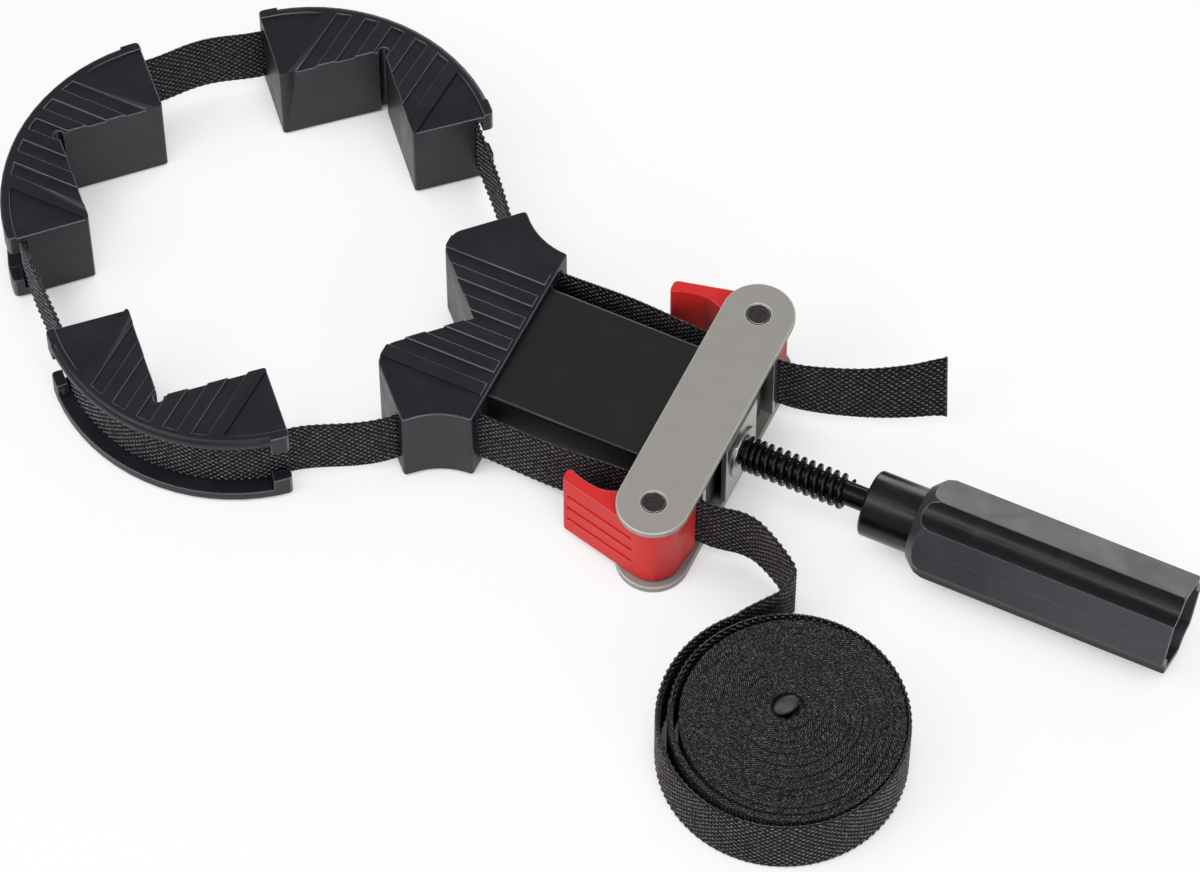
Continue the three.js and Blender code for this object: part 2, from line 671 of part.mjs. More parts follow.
function addPusher() {
  const low = axisHeight - headHeight / 2;
  const high = axisHeight + headHeight / 2;
  const reach = guideCentreY;
  const shankLow = axisHeight - shankHeight / 2;
  const shankHigh = axisHeight + shankHeight / 2;
  const seat = block(shankFront - fitGap, headBack + overrun, -shankHalfWidth - fitGap,
    shankHalfWidth + fitGap, shankLow - fitGap, shankHigh + fitGap);
  let head = cut(slab(headOutline(), low, high, 4), seat, guideSlot(1), guideSlot(-1));
  const left = headTip - overrun;
  const top = block(left, headBack + overrun, -reach, reach, high - ribHeight, high + overrun);
  head = cut(head, ribField(top, left, headBack - ribSetback, high));
  addSolid('pusher_head', head, blackPlastic);

  const section = roundedOutline([
    [-shankHalfWidth, -shankHeight / 2, shankEdgeRadius], [shankHalfWidth, -shankHeight / 2, shankEdgeRadius],
    [shankHalfWidth, shankHeight / 2, shankEdgeRadius], [-shankHalfWidth, shankHeight / 2, shankEdgeRadius],
  ]);
  const bore = rodOnSpindle(spindleRadius + spindleGap, shankPocketFront + overrun, shankRear + overrun, 24);
  const nutRoom = rodOnSpindle(nutAcrossFlats / Math.sqrt(3) + 2 * fitGap, nutFront - 2 * fitGap,
    shankRear + overrun, 24);
  const pocket = block(shankPocketFront, shankPocketRear, -shankPocketHalfWidth, shankPocketHalfWidth,
    shankLow - overrun, axisHeight + shankPocketRoof);
  addSolid('pusher_shank', cut(bar(section, shankFront, shankRear, 3), bore, nutRoom, pocket), blackShank);
  const washer = rodOnSpindle(washerRadius, washerFront, washerFront + washerThickness, 24);
  addSolid('thrust_washer', washer, brightSteel);
}

// Spindle with a groove for the clip that carries it inside the shank
function addSpindle() {
  const groove = spindleRadius - clipGrooveDepth;
  const clipFront = clipRear - clipThickness;
  const spindle = turnedOnSpindle([
    [0, spindleTip], [spindleRadius - spindleTipChamfer, spindleTip],
    [spindleRadius, spindleTip + spindleTipChamfer], [spindleRadius, clipFront - fitGap],
    [groove, clipFront - fitGap], [groove, clipRear + fitGap], [spindleRadius, clipRear + fitGap],
    [spindleRadius, spindleEnd], [0, spindleEnd],
  ], 24);
  addSolid('spindle', spindle, blackSteel);
  const ring = cut(rodOnSpindle(clipRadius, clipFront, clipRear, 24),
    rodOnSpindle(groove + fitGap, clipFront - overrun, clipRear + overrun, 24));
  const mouth = block(clipFront - overrun, clipRear + overrun, -clipMouth / 2, clipMouth / 2,
    axisHeight - clipRadius - overrun, axisHeight);
  addSolid('spindle_clip', cut(ring, mouth), brightSteel);
}

// The spring starts with closed coils at the bracket and opens to an even pitch
function addSpring() {
  const openPitch = (springLength - springClosedCoils * springClosedPitch) / (springCoils - springClosedCoils);
  const points = [];
  const perLoop = 8;
  for (let i = 0; i <= springCoils * perLoop; i += 1) {
    const turns = i / perLoop;
    const closed = Math.min(turns, springClosedCoils);
    const x = springStart + closed * springClosedPitch + (turns - closed) * openPitch;
    const angle = 2 * Math.PI * turns;
    points.push(new THREE.Vector3(x, springMeanRadius * Math.cos(angle),
      axisHeight + springMeanRadius * Math.sin(angle)));
  }
  console.log('spindle_spring least gap', leastGap(points, perLoop, springWire).toFixed(2));
  addMesh('spindle_spring', wire(points, springWire / 2, 5), blackSteel);
}

// Handle: a collar and a four-sided fluted grip, hollow from its open end
function gripShape(acrossFlats, flatWidth, fluteDepth) {
  const shape = new THREE.Shape();
  const half = acrossFlats / 2;
  const flat = flatWidth / 2;
  const middle = (half + flat) / 2 - fluteDepth * Math.SQRT2;
  for (let k = 0; k < 4; k += 1) {
    const angle = (90 * k + gripRoll) * degree;
    const place = (x, y) => [x * Math.cos(angle) - y * Math.sin(angle), x * Math.sin(angle) + y * Math.cos(angle)];
    const start = place(half, -flat);
    const end = place(half, flat);
    const control = place(middle, middle);
    const next = place(flat, half);
    if (k === 0) shape.moveTo(start[0], start[1]);
    shape.lineTo(end[0], end[1]);
    shape.quadraticCurveTo(control[0], control[1], next[0], next[1]);
  }
  return shape;
}

function addHandle() {
  const fluteSteps = 8;
  const cornerRadius = Math.hypot(gripAcrossFlats, gripFlatWidth) / 2 + fitGap;
  const envelope = turnedOnSpindle([
    [0, gripFront], [gripShoulderRadius, gripFront],
    [(gripShoulderRadius + 3 * cornerRadius) / 4, gripFront + gripShoulderLength / 2],
    [cornerRadius, gripFront + gripShoulderLength], [cornerRadius, gripEnd - gripEndRound],
    [cornerRadius - gripEndRound, gripEnd], [0, gripEnd],
  ], 40);
  const prism = bar(gripShape(gripAcrossFlats, gripFlatWidth, gripFluteDepth), gripFront - overrun,
    gripEnd + overrun, fluteSteps);
  const collar = turnedOnSpindle([
    [0, collarFront], [collarRadius - collarChamfer, collarFront], [collarRadius, collarFront + collarChamfer],
    [collarRadius, gripFront + gripShoulderLength / 2], [0, gripFront + gripShoulderLength / 2],
  ], 32);
  const hollow = bar(gripShape(gripAcrossFlats - 2 * gripWall, gripFlatWidth - gripWall, gripFluteDepth),
    gripEnd - gripHollowDepth, gripEnd + overrun, fluteSteps);
  const socket = rodOnSpindle(spindleRadius + fitGap, collarFront - overrun, spindleEnd + fitGap, 24);
  addSolid('handle', cut(join(prism.intersect(envelope), collar), hollow, socket), greyPlastic);
}

// What the rounded upper edge of a jaw's rim takes away, between the hooks
function rimEdge(high, half) {
  const steps = 5;
  const profile = [[jawRimRadius + overrun, high - jawRimEdge], [jawRimRadius + overrun, high + overrun],
    [jawRimRadius - jawRimEdge, high + overrun]];
  for (let i = 0; i <= steps; i += 1) {
    const angle = 90 * degree * (1 - i / steps);
    profile.push([jawRimRadius - jawRimEdge * (1 - Math.cos(angle)), high - jawRimEdge * (1 - Math.sin(angle))]);
  }
  profile.push(profile[0]);
  const between = sector(jawArcCentre, jawRimRadius - jawRimEdge - overrun, jawRimRadius + 2 * overrun,
    Math.PI - half, Math.PI + half, 18);
  return turnedOnZ(profile, 72).translate([jawArcCentre, 0, 0]).intersect(
    slab(between, high - jawRimEdge - overrun, high + 2 * overrun));
}

// Corner jaws
function jawSolid() {
  const low = axisHeight - jawHeight / 2;
  const high = axisHeight + jawHeight / 2;
  const armX = jawArm / Math.SQRT2;
  const arcSteps = 18;
  const rim = [];
  const arcHalf = strapTurnAngle;
  for (let i = 0; i <= arcSteps; i += 1) {
    const angle = Math.PI - arcHalf + 2 * arcHalf * i / arcSteps;
    rim.push([jawArcCentre + jawRimRadius * Math.cos(angle), jawRimRadius * Math.sin(angle),
      i === 0 || i === arcSteps ? jawRimRound : 0]);
  }
  const outline = roundedOutline([[0, 0], [armX, armX, jawTipRound], ...rim, [armX, -armX, jawTipRound]]);
  const far = jawRimRadius + overrun;
  const wide = arcHalf + Math.atan2(overrun, jawRimRadius);
  const hookInner = jawStrapRadius + strapThickness / 2 + jawHookGap;
  const hookAngle = arcHalf - jawHookLength / jawRimRadius;
  const around = (inner, outer, half) => sector(jawArcCentre, inner, outer, Math.PI - half, Math.PI + half,
    arcSteps);
  const channelLow = strapLow - slideGap;
  const channelHigh = strapLow + strapWidth + slideGap;
  const channel = slab(around(jawCoreRadius, hookInner, wide), channelLow, channelHigh);
  const open = slab(around(hookInner - fitGap, far, hookAngle), channelLow, channelHigh);
  const mouth = slab(around(hookInner - fitGap, far, wide), axisHeight - jawHookOpening / 2,
    axisHeight + jawHookOpening / 2);
  const relief = rodOnZ(jawReliefRadius, low - overrun, high + overrun, 12);
  const inside = jawRimRadius - jawRimBand;
  const left = jawArcCentre - inside - overrun;
  const right = armX + overrun;
  const field = (z0, z1) => rodOnZ(inside, z0, z1, 72).translate([jawArcCentre, 0, 0]);
  const top = ribField(field(high - ribHeight, high + overrun), left, right, high);
  return cut(slab(outline, low, high, 3), channel, open, mouth, relief, top, rimEdge(high, hookAngle));
}

// A strap arc about a jaw's centre, a little short of the next piece at each end
function wrapStations() {
  const stations = [];
  const steps = 14;
  const short = fitGap / 2 / jawStrapRadius;
  const half = strapTurnAngle - short;
  for (let i = 0; i <= steps; i += 1) {
    const angle = Math.PI - half + 2 * half * i / steps;
    stations.push({ point: new THREE.Vector3(jawArcCentre + jawStrapRadius * Math.cos(angle),
      jawStrapRadius * Math.sin(angle), axisHeight) });
  }
  return stations;
}

// Where each jaw stands: its inner corner, and the direction from that corner towards the work
function jawPlace(name) {
  const distance = squareSide * jawDistanceShares[name];
  const direction = jawDirections[name] * degree;
  return {
    corner: [headCorner + distance * Math.cos(direction), distance * Math.sin(direction)],
    facing: jawFacings[name] * degree,
  };
}

// An end of the strap on a jaw and its heading there: side 1 is where the arc starts, side -1 where it stops
function strapEnd(place, side) {
  const angle = Math.PI - side * strapTurnAngle;
  const x = jawArcCentre + jawStrapRadius * Math.cos(angle);
  const y = jawStrapRadius * Math.sin(angle);
  const c = Math.cos(place.facing);
  const s = Math.sin(place.facing);
  const heading = angle + place.facing + side * Math.PI / 2;
  return {
    point: new THREE.Vector3(place.corner[0] + x * c - y * s, place.corner[1] + x * s + y * c, axisHeight),
    away: new THREE.Vector3(-Math.cos(heading), -Math.sin(heading), 0),
  };
}

// A loose stretch of strap between two ends, which leaves each end straight and bulges to one side
function spanStations(from, to, bow, steps) {
  const chord = to.point.clone().sub(from.point);
  const reach = chord.length() / 3;
  const start = from.point.clone().add(from.away.clone().multiplyScalar(fitGap / 2));
  const end = to.point.clone().add(to.away.clone().multiplyScalar(fitGap / 2));
  const curve = new THREE.CubicBezierCurve3(start, start.clone().add(from.away.clone().multiplyScalar(reach)),
    end.clone().add(to.away.clone().multiplyScalar(reach)), end);
  const side = new THREE.Vector3(-chord.y, chord.x, 0).normalize();
  return curve.getPoints(steps).map((point, i) => ({
    point: point.add(side.clone().multiplyScalar(bow * Math.sin(Math.PI * i / steps) ** 2)) }));
}

function addSpan(name, from, to, bow, steps) {
  const stations = spanStations(from, to, bow, steps);
  addMesh(name, strip(stations, from.away, to.away.clone().negate()), webbing);
}

function addJawsAndStrapLoop() {
  const [back, far, front] = ['back', 'far', 'front'].map(jawPlace);
  const jaw = geometryOf(jawSolid());
  const wrap = strip(wrapStations());
  for (const [name, place] of [['back', back], ['far', far], ['front', front]]) {
    const group = new THREE.Group();
    group.position.set(place.corner[0], place.corner[1], 0);
    group.rotation.z = place.facing;
    addMesh(`corner_jaw_${name}`, jaw, blackPlastic, group);
    addMesh(`strap_wrap_${name}`, wrap, webbing, group);
    part.add(group);
  }
  const guideEnd = (side) => {
    const [x, y] = guidePoint(guideRadius, guideTurn * degree, side);
    return {
      point: new THREE.Vector3(x, y, axisHeight),
      away: new THREE.Vector3(-Math.cos(guideTurn * degree), side * Math.sin(guideTurn * degree), 0),
    };
  };
  const steps = 8;
  const spans = [
    ['strap_span_back', guideEnd(1), strapEnd(back, 1), -spanBow],
    ['strap_span_far_back', strapEnd(back, -1), strapEnd(far, 1), -looseSpanBow],
    ['strap_span_far_front', strapEnd(far, -1), strapEnd(front, 1), -spanBow],
    ['strap_span_front', strapEnd(front, -1), guideEnd(-1), -spanBow],
  ];
  for (const [name, from, to, bow] of spans) addSpan(name, from, to, bow, steps);
}

// Strap in the guides of the head, and the side runs from the frame to the head
function addStrapSides() {
  for (const [side, name] of [[1, 'left'], [-1, 'right']]) {
    const guide = [];
    const steps = 8;
    const short = fitGap / 2 / guideRadius;
    for (let i = 0; i <= steps; i += 1) {
      const angle = short + (guideTurn * degree - 2 * short) * i / steps;
      const [x, y] = guidePoint(guideRadius, angle, side);
      guide.push({ point: new THREE.Vector3(x, y, axisHeight) });
    }
    addMesh(`strap_guided_${name}`, strip(guide), webbing);
    const forward = new THREE.Vector3(-1, 0, 0);
    const from = { point: new THREE.Vector3(-plateEdge, side * strapLine, axisHeight), away: forward };
    const to = { point: new THREE.Vector3(headBack, side * guideStrapLine, axisHeight), away: forward.clone().negate() };
    addSpan(`strap_run_${name}`, from, to, -side * runBow, steps);
    const through = [-plateEdge + fitGap, 0, plateEdge - fitGap].map((x) => ({
      point: new THREE.Vector3(x, side * strapLine, axisHeight) }));
    addMesh(`strap_gripped_${name}`, strip(through), webbing);
  }
}

// Points of a smooth route through shares of the way between two places
function routeThrough(shares, from, to, across, steps) {
  const along = to.clone().sub(from);
  const curve = new THREE.CatmullRomCurve3(shares.map(([a, b]) => from.clone()
    .add(along.clone().multiplyScalar(a)).add(across.clone().multiplyScalar(b))), false, 'centripetal');
  return curve.getPoints(steps);
}

function addTail() {
  const start = new THREE.Vector3(plateEdge, strapLine, axisHeight);
  const across = new THREE.Vector3(0, tailReachY, 0);
  const end = new THREE.Vector3(plateEdge + tailReachX, strapLine, axisHeight);
  const steps = 14;
  const stations = routeThrough(tailSagShares, start, end, across, steps).map((point, i) => ({
    point, lean: tailLean * (i / steps) ** 1.5 }));
  addMesh('strap_tail', strip(stations), webbing);
}

// The roll winds inwards from where the lead joins it, through its loose outer loops and then its pack
function rollPoint(turns) {
  const mix = (from, to, share) => from + (to - from) * share;
  const loose = Math.max(0, 1 - turns / rollLooseLoops);
  const packed = Math.min(1, (rollLoops - turns) / (rollLoops - rollLooseLoops));
  const outwards = (core, pack, outer) => (turns < rollLooseLoops ? mix(pack, outer, loose)
    : mix(core, pack, packed));
  const radius = outwards(rollCoreRadius, rollPackRadius, rollRadius);
  const angle = rollStart * degree + 2 * Math.PI * turns;
  return new THREE.Vector3(
    rollCentreX + outwards(rollCoreShiftX, rollPackShiftX, 0) + radius * Math.cos(angle),
    rollCentreY + outwards(rollCoreShiftY, rollPackShiftY, 0) + radius * Math.sin(angle),
    strapWidth / 2);
}

function addRollAndLead() {
  const perLoop = 24;
  const points = [];
  for (let i = 0; i <= rollLoops * perLoop; i += 1) points.push(rollPoint(i / perLoop));
  console.log('strap_roll least gap', leastGap(points, perLoop, strapThickness).toFixed(2));
  let length = 0;
  for (let i = 1; i < points.length; i += 1) length += points[i].distanceTo(points[i - 1]);
  console.log('strap_roll length', length.toFixed(0));
  addMesh('strap_roll', strip(points.map((point) => ({ point }))), webbing);

  const start = new THREE.Vector3(plateEdge, -strapLine, axisHeight);
  const entry = rollPoint(0);
  const heading = new THREE.Vector3(Math.cos(rollStart * degree + Math.PI / 2),
    Math.sin(rollStart * degree + Math.PI / 2), 0);
  const end = entry.clone().sub(heading.clone().multiplyScalar(fitGap));
  const along = end.clone().sub(start).setZ(0);
  const across = new THREE.Vector3(-along.y, along.x, 0);
  const steps = 32;
  const stations = routeThrough(leadShares, start.clone().setZ(0), end.clone().setZ(0), across, steps)
    .map((point, i) => {
      const share = Math.min(1, i / steps / 0.55);
      const eased = share * share * (3 - 2 * share);
      point.z = axisHeight + (strapWidth / 2 - axisHeight) * eased;
      return { point };
    });
  addMesh('strap_lead', strip(stations, new THREE.Vector3(1, 0, 0), heading), webbing);
}

addFrame();
addBracketAndNut();
addLevers();
addPusher();
addSpindle();
addSpring();
addHandle();
addJawsAndStrapLoop();
addStrapSides();
addTail();
addRollAndLead();

export default part;
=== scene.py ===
"""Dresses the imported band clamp: bevelled mouldings, plates, levers, spindle drive and a woven strap.

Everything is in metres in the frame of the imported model: +X along the spindle towards the handle, +Z up from
the bench, origin under the lower frame plate midway between the two lever pins. Values whose names end in mm,
and the places and lengths in Details, StrapEnd, JawPlace, Roll and Strap, are in millimetres. A field's angle
is in degrees unless a comment says otherwise.
"""

from __future__ import annotations

import logging
import math
from dataclasses import dataclass, field
from enum import Enum
from typing import Any, Callable, Sequence

import bmesh
import bpy
import numpy as np
from mathutils import Matrix, Vector

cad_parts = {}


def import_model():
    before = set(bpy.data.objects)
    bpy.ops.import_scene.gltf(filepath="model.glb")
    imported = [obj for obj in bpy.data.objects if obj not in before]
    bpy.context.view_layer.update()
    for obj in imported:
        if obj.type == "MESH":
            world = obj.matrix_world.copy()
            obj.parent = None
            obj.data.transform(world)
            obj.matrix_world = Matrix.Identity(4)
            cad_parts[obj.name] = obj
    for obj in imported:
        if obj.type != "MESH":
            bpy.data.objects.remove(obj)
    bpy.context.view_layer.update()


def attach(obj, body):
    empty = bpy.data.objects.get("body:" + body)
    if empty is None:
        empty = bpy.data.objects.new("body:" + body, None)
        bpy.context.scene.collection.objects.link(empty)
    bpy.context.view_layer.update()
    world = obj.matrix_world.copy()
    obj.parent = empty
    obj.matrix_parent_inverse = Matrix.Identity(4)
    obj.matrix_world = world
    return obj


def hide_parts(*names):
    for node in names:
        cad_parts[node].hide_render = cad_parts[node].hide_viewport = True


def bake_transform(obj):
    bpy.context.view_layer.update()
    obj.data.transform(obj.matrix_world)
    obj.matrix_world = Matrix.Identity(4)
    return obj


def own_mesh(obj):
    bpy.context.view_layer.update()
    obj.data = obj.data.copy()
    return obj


LOG = logging.getLogger("band_clamp")
MM = 0.001
AXIS_HEIGHT = 17.5 * MM
SIDES = ((1, "left"), (-1, "right"))
# Edges at least this sharp get an edge radius
SHARP_EDGE = math.radians(32.0)
# Faces that meet more gently than this are shaded as one
SMOOTH_ANGLE = math.radians(40)
# Length that a neighbour needs beside an edge radius, in widths of the radius
ROOM_BESIDE = 1.05
# Share of an edge that the radii at its two ends may take
ROOM_ALONG = 0.95
# How far the second face's map lies from the first one's, in millimetres
FACE_MAP_SHIFT = 40.0


# Small helpers


def linear(hex_colour: str) -> tuple[float, float, float, float]:
    """Turns an sRGB hex colour into the linear colour that a shader socket takes.

    Args:
        hex_colour: Six hex digits with a leading hash.

    Returns:
        Red, green, blue and alpha, linear.
    """
    parts = [int(hex_colour[i : i + 2], 16) / 255 for i in (1, 3, 5)]
    bent = [part / 12.92 if part <= 0.04045 else ((part + 0.055) / 1.055) ** 2.4 for part in parts]
    return (*bent, 1.0)


def add_node(
    tree: bpy.types.NodeTree,
    kind: str,
    settings: dict[Any, Any] | None = None,
    links: dict[Any, bpy.types.NodeSocket] | None = None,
) -> bpy.types.Node:
    """Adds one node, sets its properties and input values, and links its inputs.

    Args:
        tree: The node tree that gets the node.
        kind: The node's type name.
        settings: Property names, input names or input numbers, with their values.
        links: Input names or numbers, with the output sockets that feed them.

    Returns:
        The new node.
    """
    node = tree.nodes.new(kind)
    properties = {k: v for k, v in (settings or {}).items() if isinstance(k, str) and hasattr(node, k)}
    for name, value in properties.items():
        setattr(node, name, value)
    for name, value in (settings or {}).items():
        if name not in properties:
            node.inputs[name].default_value = value
    for name, socket in (links or {}).items():
        tree.links.new(socket, node.inputs[name])
    return node


def new_material(name: str) -> tuple[bpy.types.Material, bpy.types.NodeTree]:
    """Starts a material with an empty node tree.

    Args:
        name: The material's name.

    Returns:
        The material and its tree.
    """
    made = bpy.data.materials.new(name)
    made.use_nodes = True
    made.node_tree.nodes.clear()
    return made, made.node_tree


def show_surface(
    tree: bpy.types.NodeTree,
    settings: dict[Any, Any],
    links: dict[Any, bpy.types.NodeSocket],
    relief: bpy.types.NodeSocket,
    depth_mm: float,
) -> None:
    """Ends a material: a bump from one of its patterns, the surface and the output.

    Args:
        tree: The material's tree.
        settings: Input values of the surface.
        links: Inputs of the surface, with the sockets that feed them.
        relief: The pattern that the bump raises.
        depth_mm: How deep that pattern is.
    """
    raised = {"Strength": 1.0, "Distance": depth_mm * MM}
    bump = add_node(tree, "ShaderNodeBump", raised, {"Height": relief})
    fed = {**links, "Normal": bump.outputs["Normal"]}
    surface = add_node(tree, "ShaderNodeBsdfPrincipled", settings, fed)
    add_node(tree, "ShaderNodeOutputMaterial", None, {"Surface": surface.outputs["BSDF"]})


def deselect() -> None:
    """Leaves nothing selected, in object mode."""
    if bpy.context.mode != "OBJECT":
        bpy.ops.object.mode_set(mode="OBJECT")
    bpy.ops.object.select_all(action="DESELECT")


def make_active(piece: bpy.types.Object) -> None:
    """Selects one piece alone and makes it active.

    Args:
        piece: The object that the next operators act on.
    """
    deselect()
    piece.select_set(True)
    bpy.context.view_layer.objects.active = piece


def settle(piece: bpy.types.Object) -> None:
    """Puts the piece's place into its mesh, so that its object sits at the origin.

    Args:
        piece: The object to settle.
    """
    make_active(piece)
    bpy.ops.object.transform_apply(location=True, rotation=True, scale=True)


def shape_with(piece: bpy.types.Object, kind: str, name: str, settings: dict[str, Any]) -> None:
    """Gives the active piece a modifier, sets it up and applies it.

    Args:
        piece: The active object.
        kind: The modifier's type.
        name: The modifier's name.
        settings: Its properties.
    """
    modifier = piece.modifiers.new(name, kind)
    for key, value in settings.items():
        setattr(modifier, key, value)
    bpy.ops.object.modifier_apply(modifier=modifier.name)


def has_room(edge: bmesh.types.BMEdge, marked: set[bmesh.types.BMEdge], width: float) -> bool:
    """Tells whether an edge radius fits between the edge's neighbours in both of its faces.

    Args:
        edge: The edge that would be rounded.
        marked: All edges that would be rounded.
        width: Width of the edge radius in metres.

    Returns:
        True if its faces keep a length of their own beside the edge.
    """
    for loop in edge.link_loops:
        taken = 0.0
        onward = loop.link_loop_next
        for corner, beside in ((loop, loop.link_loop_prev.edge), (onward, onward.edge)):
            inner = corner.calc_angle()
            if beside in marked:
                taken += width / math.tan(0.5 * inner) if corner.is_convex else 0.0
                continue
            far_end = beside.other_vert(corner.vert)
            ends = 2 if any(other in marked for other in far_end.link_edges) else 1
            if beside.calc_length() * math.sin(inner) < ROOM_BESIDE * ends * width:
                return False
        if taken > ROOM_ALONG * edge.calc_length():
            return False
    return True


def weigh_edges(piece: bpy.types.Object, width: float, foot: float) -> None:
    """Marks each sharp outward edge that has room for its radius, until the marked ones all have it.

    Args:
        piece: The object whose edges are marked.
        width: Width of the full edge radius in metres.
        foot: Edges that lie below this height in metres stay sharp.
    """
    shape = bmesh.new()
    shape.from_mesh(piece.data)
    layer = shape.edges.layers.float.new("bevel_weight_edge")
    marked = {
        edge
        for edge in shape.edges
        if edge.calc_face_angle_signed(0.0) >= SHARP_EDGE and max(end.co.z for end in edge.verts) > foot
    }
    crowded = marked
    while crowded:
        crowded = {edge for edge in marked if not has_room(edge, marked, width)}
        marked = marked - crowded
    for edge in marked:
        edge[layer] = 1.0
    shape.to_mesh(piece.data)
    shape.free()


def soften(piece: bpy.types.Object, width: float, segments: int, foot: float) -> None:
    """Rounds the sharp edges of a piece with a bevel, in its second material, and keeps its flat faces flat.

    Args:
        piece: The object to soften.
        width: Width of the bevel in metres.
        segments: Facets across the bevel.
        foot: Edges that lie below this height in metres stay sharp.
    """
    weigh_edges(piece, width, foot)
    make_active(piece)
    bevel = {
        "width": width,
        "segments": segments,
        "limit_method": "WEIGHT",
        "use_clamp_overlap": False,
        # The second material paints a paler highlight on the rounded edges, where the piece's finish has one
        "material": 1,
    }
    shape_with(piece, "BEVEL", "edge_radius", bevel)
    bpy.ops.object.shade_smooth_by_angle(angle=SMOOTH_ANGLE)
    normals = {"mode": "FACE_AREA", "weight": 80, "keep_sharp": True}
    shape_with(piece, "WEIGHTED_NORMAL", "face_normals", normals)


def copy_of(node: str, name: str, materials: Sequence[bpy.types.Material]) -> bpy.types.Object:
    """Copies a CAD node with its doubled points merged.

    Args:
        node: The CAD node to copy.
        name: The new piece's name.
        materials: Its materials, the one for its faces first.

    Returns:
        The new piece, active, in object mode.
    """
    deselect()
    piece = bpy.data.objects.new(name, bpy.data.objects[node].data.copy())
    bpy.context.scene.collection.objects.link(piece)
    piece.data.materials.clear()
    for material in materials:
        piece.data.materials.append(material)
    piece.data.polygons.foreach_set("material_index", [0] * len(piece.data.polygons))
    make_active(piece)
    bpy.ops.object.mode_set(mode="EDIT")
    bpy.ops.mesh.select_all(action="SELECT")
    bpy.ops.mesh.remove_doubles(threshold=0.002 * MM)
    bpy.ops.object.mode_set(mode="OBJECT")
    return piece


def moulding_from(
    node: str,
    name: str,
    materials: Sequence[bpy.types.Material],
    width: float,
    segments: int,
    foot: float,
) -> bpy.types.Object:
    """Copies a CAD node as clean faces with rounded edges.

    Args:
        node: The CAD node to copy.
        name: The new piece's name.
        materials: Materials of the faces and of the edges.
        width: Width of the edge radius in metres.
        segments: Facets across the edge radius.
        foot: Edges that lie below this height in metres stay sharp.

    Returns:
        The new piece, riding on nothing yet.
    """
    piece = copy_of(node, name, materials)
    bpy.ops.object.mode_set(mode="EDIT")
    bpy.ops.mesh.dissolve_degenerate(threshold=0.04 * MM)
    bpy.ops.mesh.select_all(action="SELECT")
    bpy.ops.mesh.dissolve_limited(angle_limit=math.radians(0.6))
    bpy.ops.object.mode_set(mode="OBJECT")
    soften(piece, width, segments, foot)
    return piece


def wire_from(
    node: str, name: str, materials: Sequence[bpy.types.Material], swell_mm: float
) -> bpy.types.Object:
    """Copies a CAD node that is a bent wire, and rounds its section.

    Args:
        node: The CAD node to copy.
        name: The new piece's name.
        materials: Materials of the wire.
        swell_mm: What the rounding took off the wire and gets back, in millimetres.

    Returns:
        The new piece, riding on nothing yet.
    """
    piece = copy_of(node, name, materials)
    bpy.ops.object.mode_set(mode="EDIT")
    bpy.ops.mesh.tris_convert_to_quads(face_threshold=math.radians(60), shape_threshold=math.radians(120))
    bpy.ops.object.mode_set(mode="OBJECT")
    shape_with(piece, "SUBSURF", "round_wire", {"levels": 2})
    shape_with(piece, "DISPLACE", "full_section", {"mid_level": 0.0, "strength": swell_mm * MM})
    bpy.ops.object.shade_smooth()
    return piece


# Finishes


@dataclass(frozen=True)
class Moulded:
    """Injection-moulded plastic: even colour, fine die grain, faint flow marks and a little handling wear.

    The grain is drawn coarser than a real one, so that it shows in the render.
    """

    name: str
    slot: str
    colour: str
    worn: str
    roughness: float
    grain_mm: float = 0.45
    grain_depth_mm: float = 0.012
    flow_mm: float = 14.0
    ior: float = 1.5
    rough_spread: float = 0.07

    def material(self) -> bpy.types.Material:
        """Builds the plastic's material.

        Returns:
            The material.
        """
        made, tree = new_material(self.name)
        place = add_node(tree, "ShaderNodeTexCoord")
        flow = add_node(
            tree,
            "ShaderNodeTexNoise",
            {"Scale": 1 / (self.flow_mm * MM), "Detail": 4.0, "Roughness": 0.55, "Distortion": 0.6},
            {"Vector": place.outputs["Object"]},
        )
        wear = add_node(
            tree,
            "ShaderNodeMapRange",
            {"From Min": 0.45, "From Max": 0.75, "To Min": 0.0, "To Max": 0.5},
            {"Value": flow.outputs["Fac"]},
        )
        tint = add_node(
            tree,
            "ShaderNodeMix",
            {"data_type": "RGBA", 6: linear(self.colour), 7: linear(self.worn)},
            {0: wear.outputs["Result"]},
        )
        grain = add_node(
            tree,
            "ShaderNodeTexNoise",
            {"Scale": 1 / (self.grain_mm * MM), "Detail": 3.0, "Roughness": 0.6},
            {"Vector": place.outputs["Object"]},
        )
        low, high = self.roughness - self.rough_spread, self.roughness + self.rough_spread
        rough = add_node(
            tree,
            "ShaderNodeMapRange",
            {"From Min": 0.3, "From Max": 0.7, "To Min": low, "To Max": high},
            {"Value": flow.outputs["Fac"]},
        )
        links = {"Base Color": tint.outputs[2], "Roughness": rough.outputs["Result"]}
        show_surface(tree, {"IOR": self.ior}, links, grain.outputs["Fac"], self.grain_depth_mm)
        return made


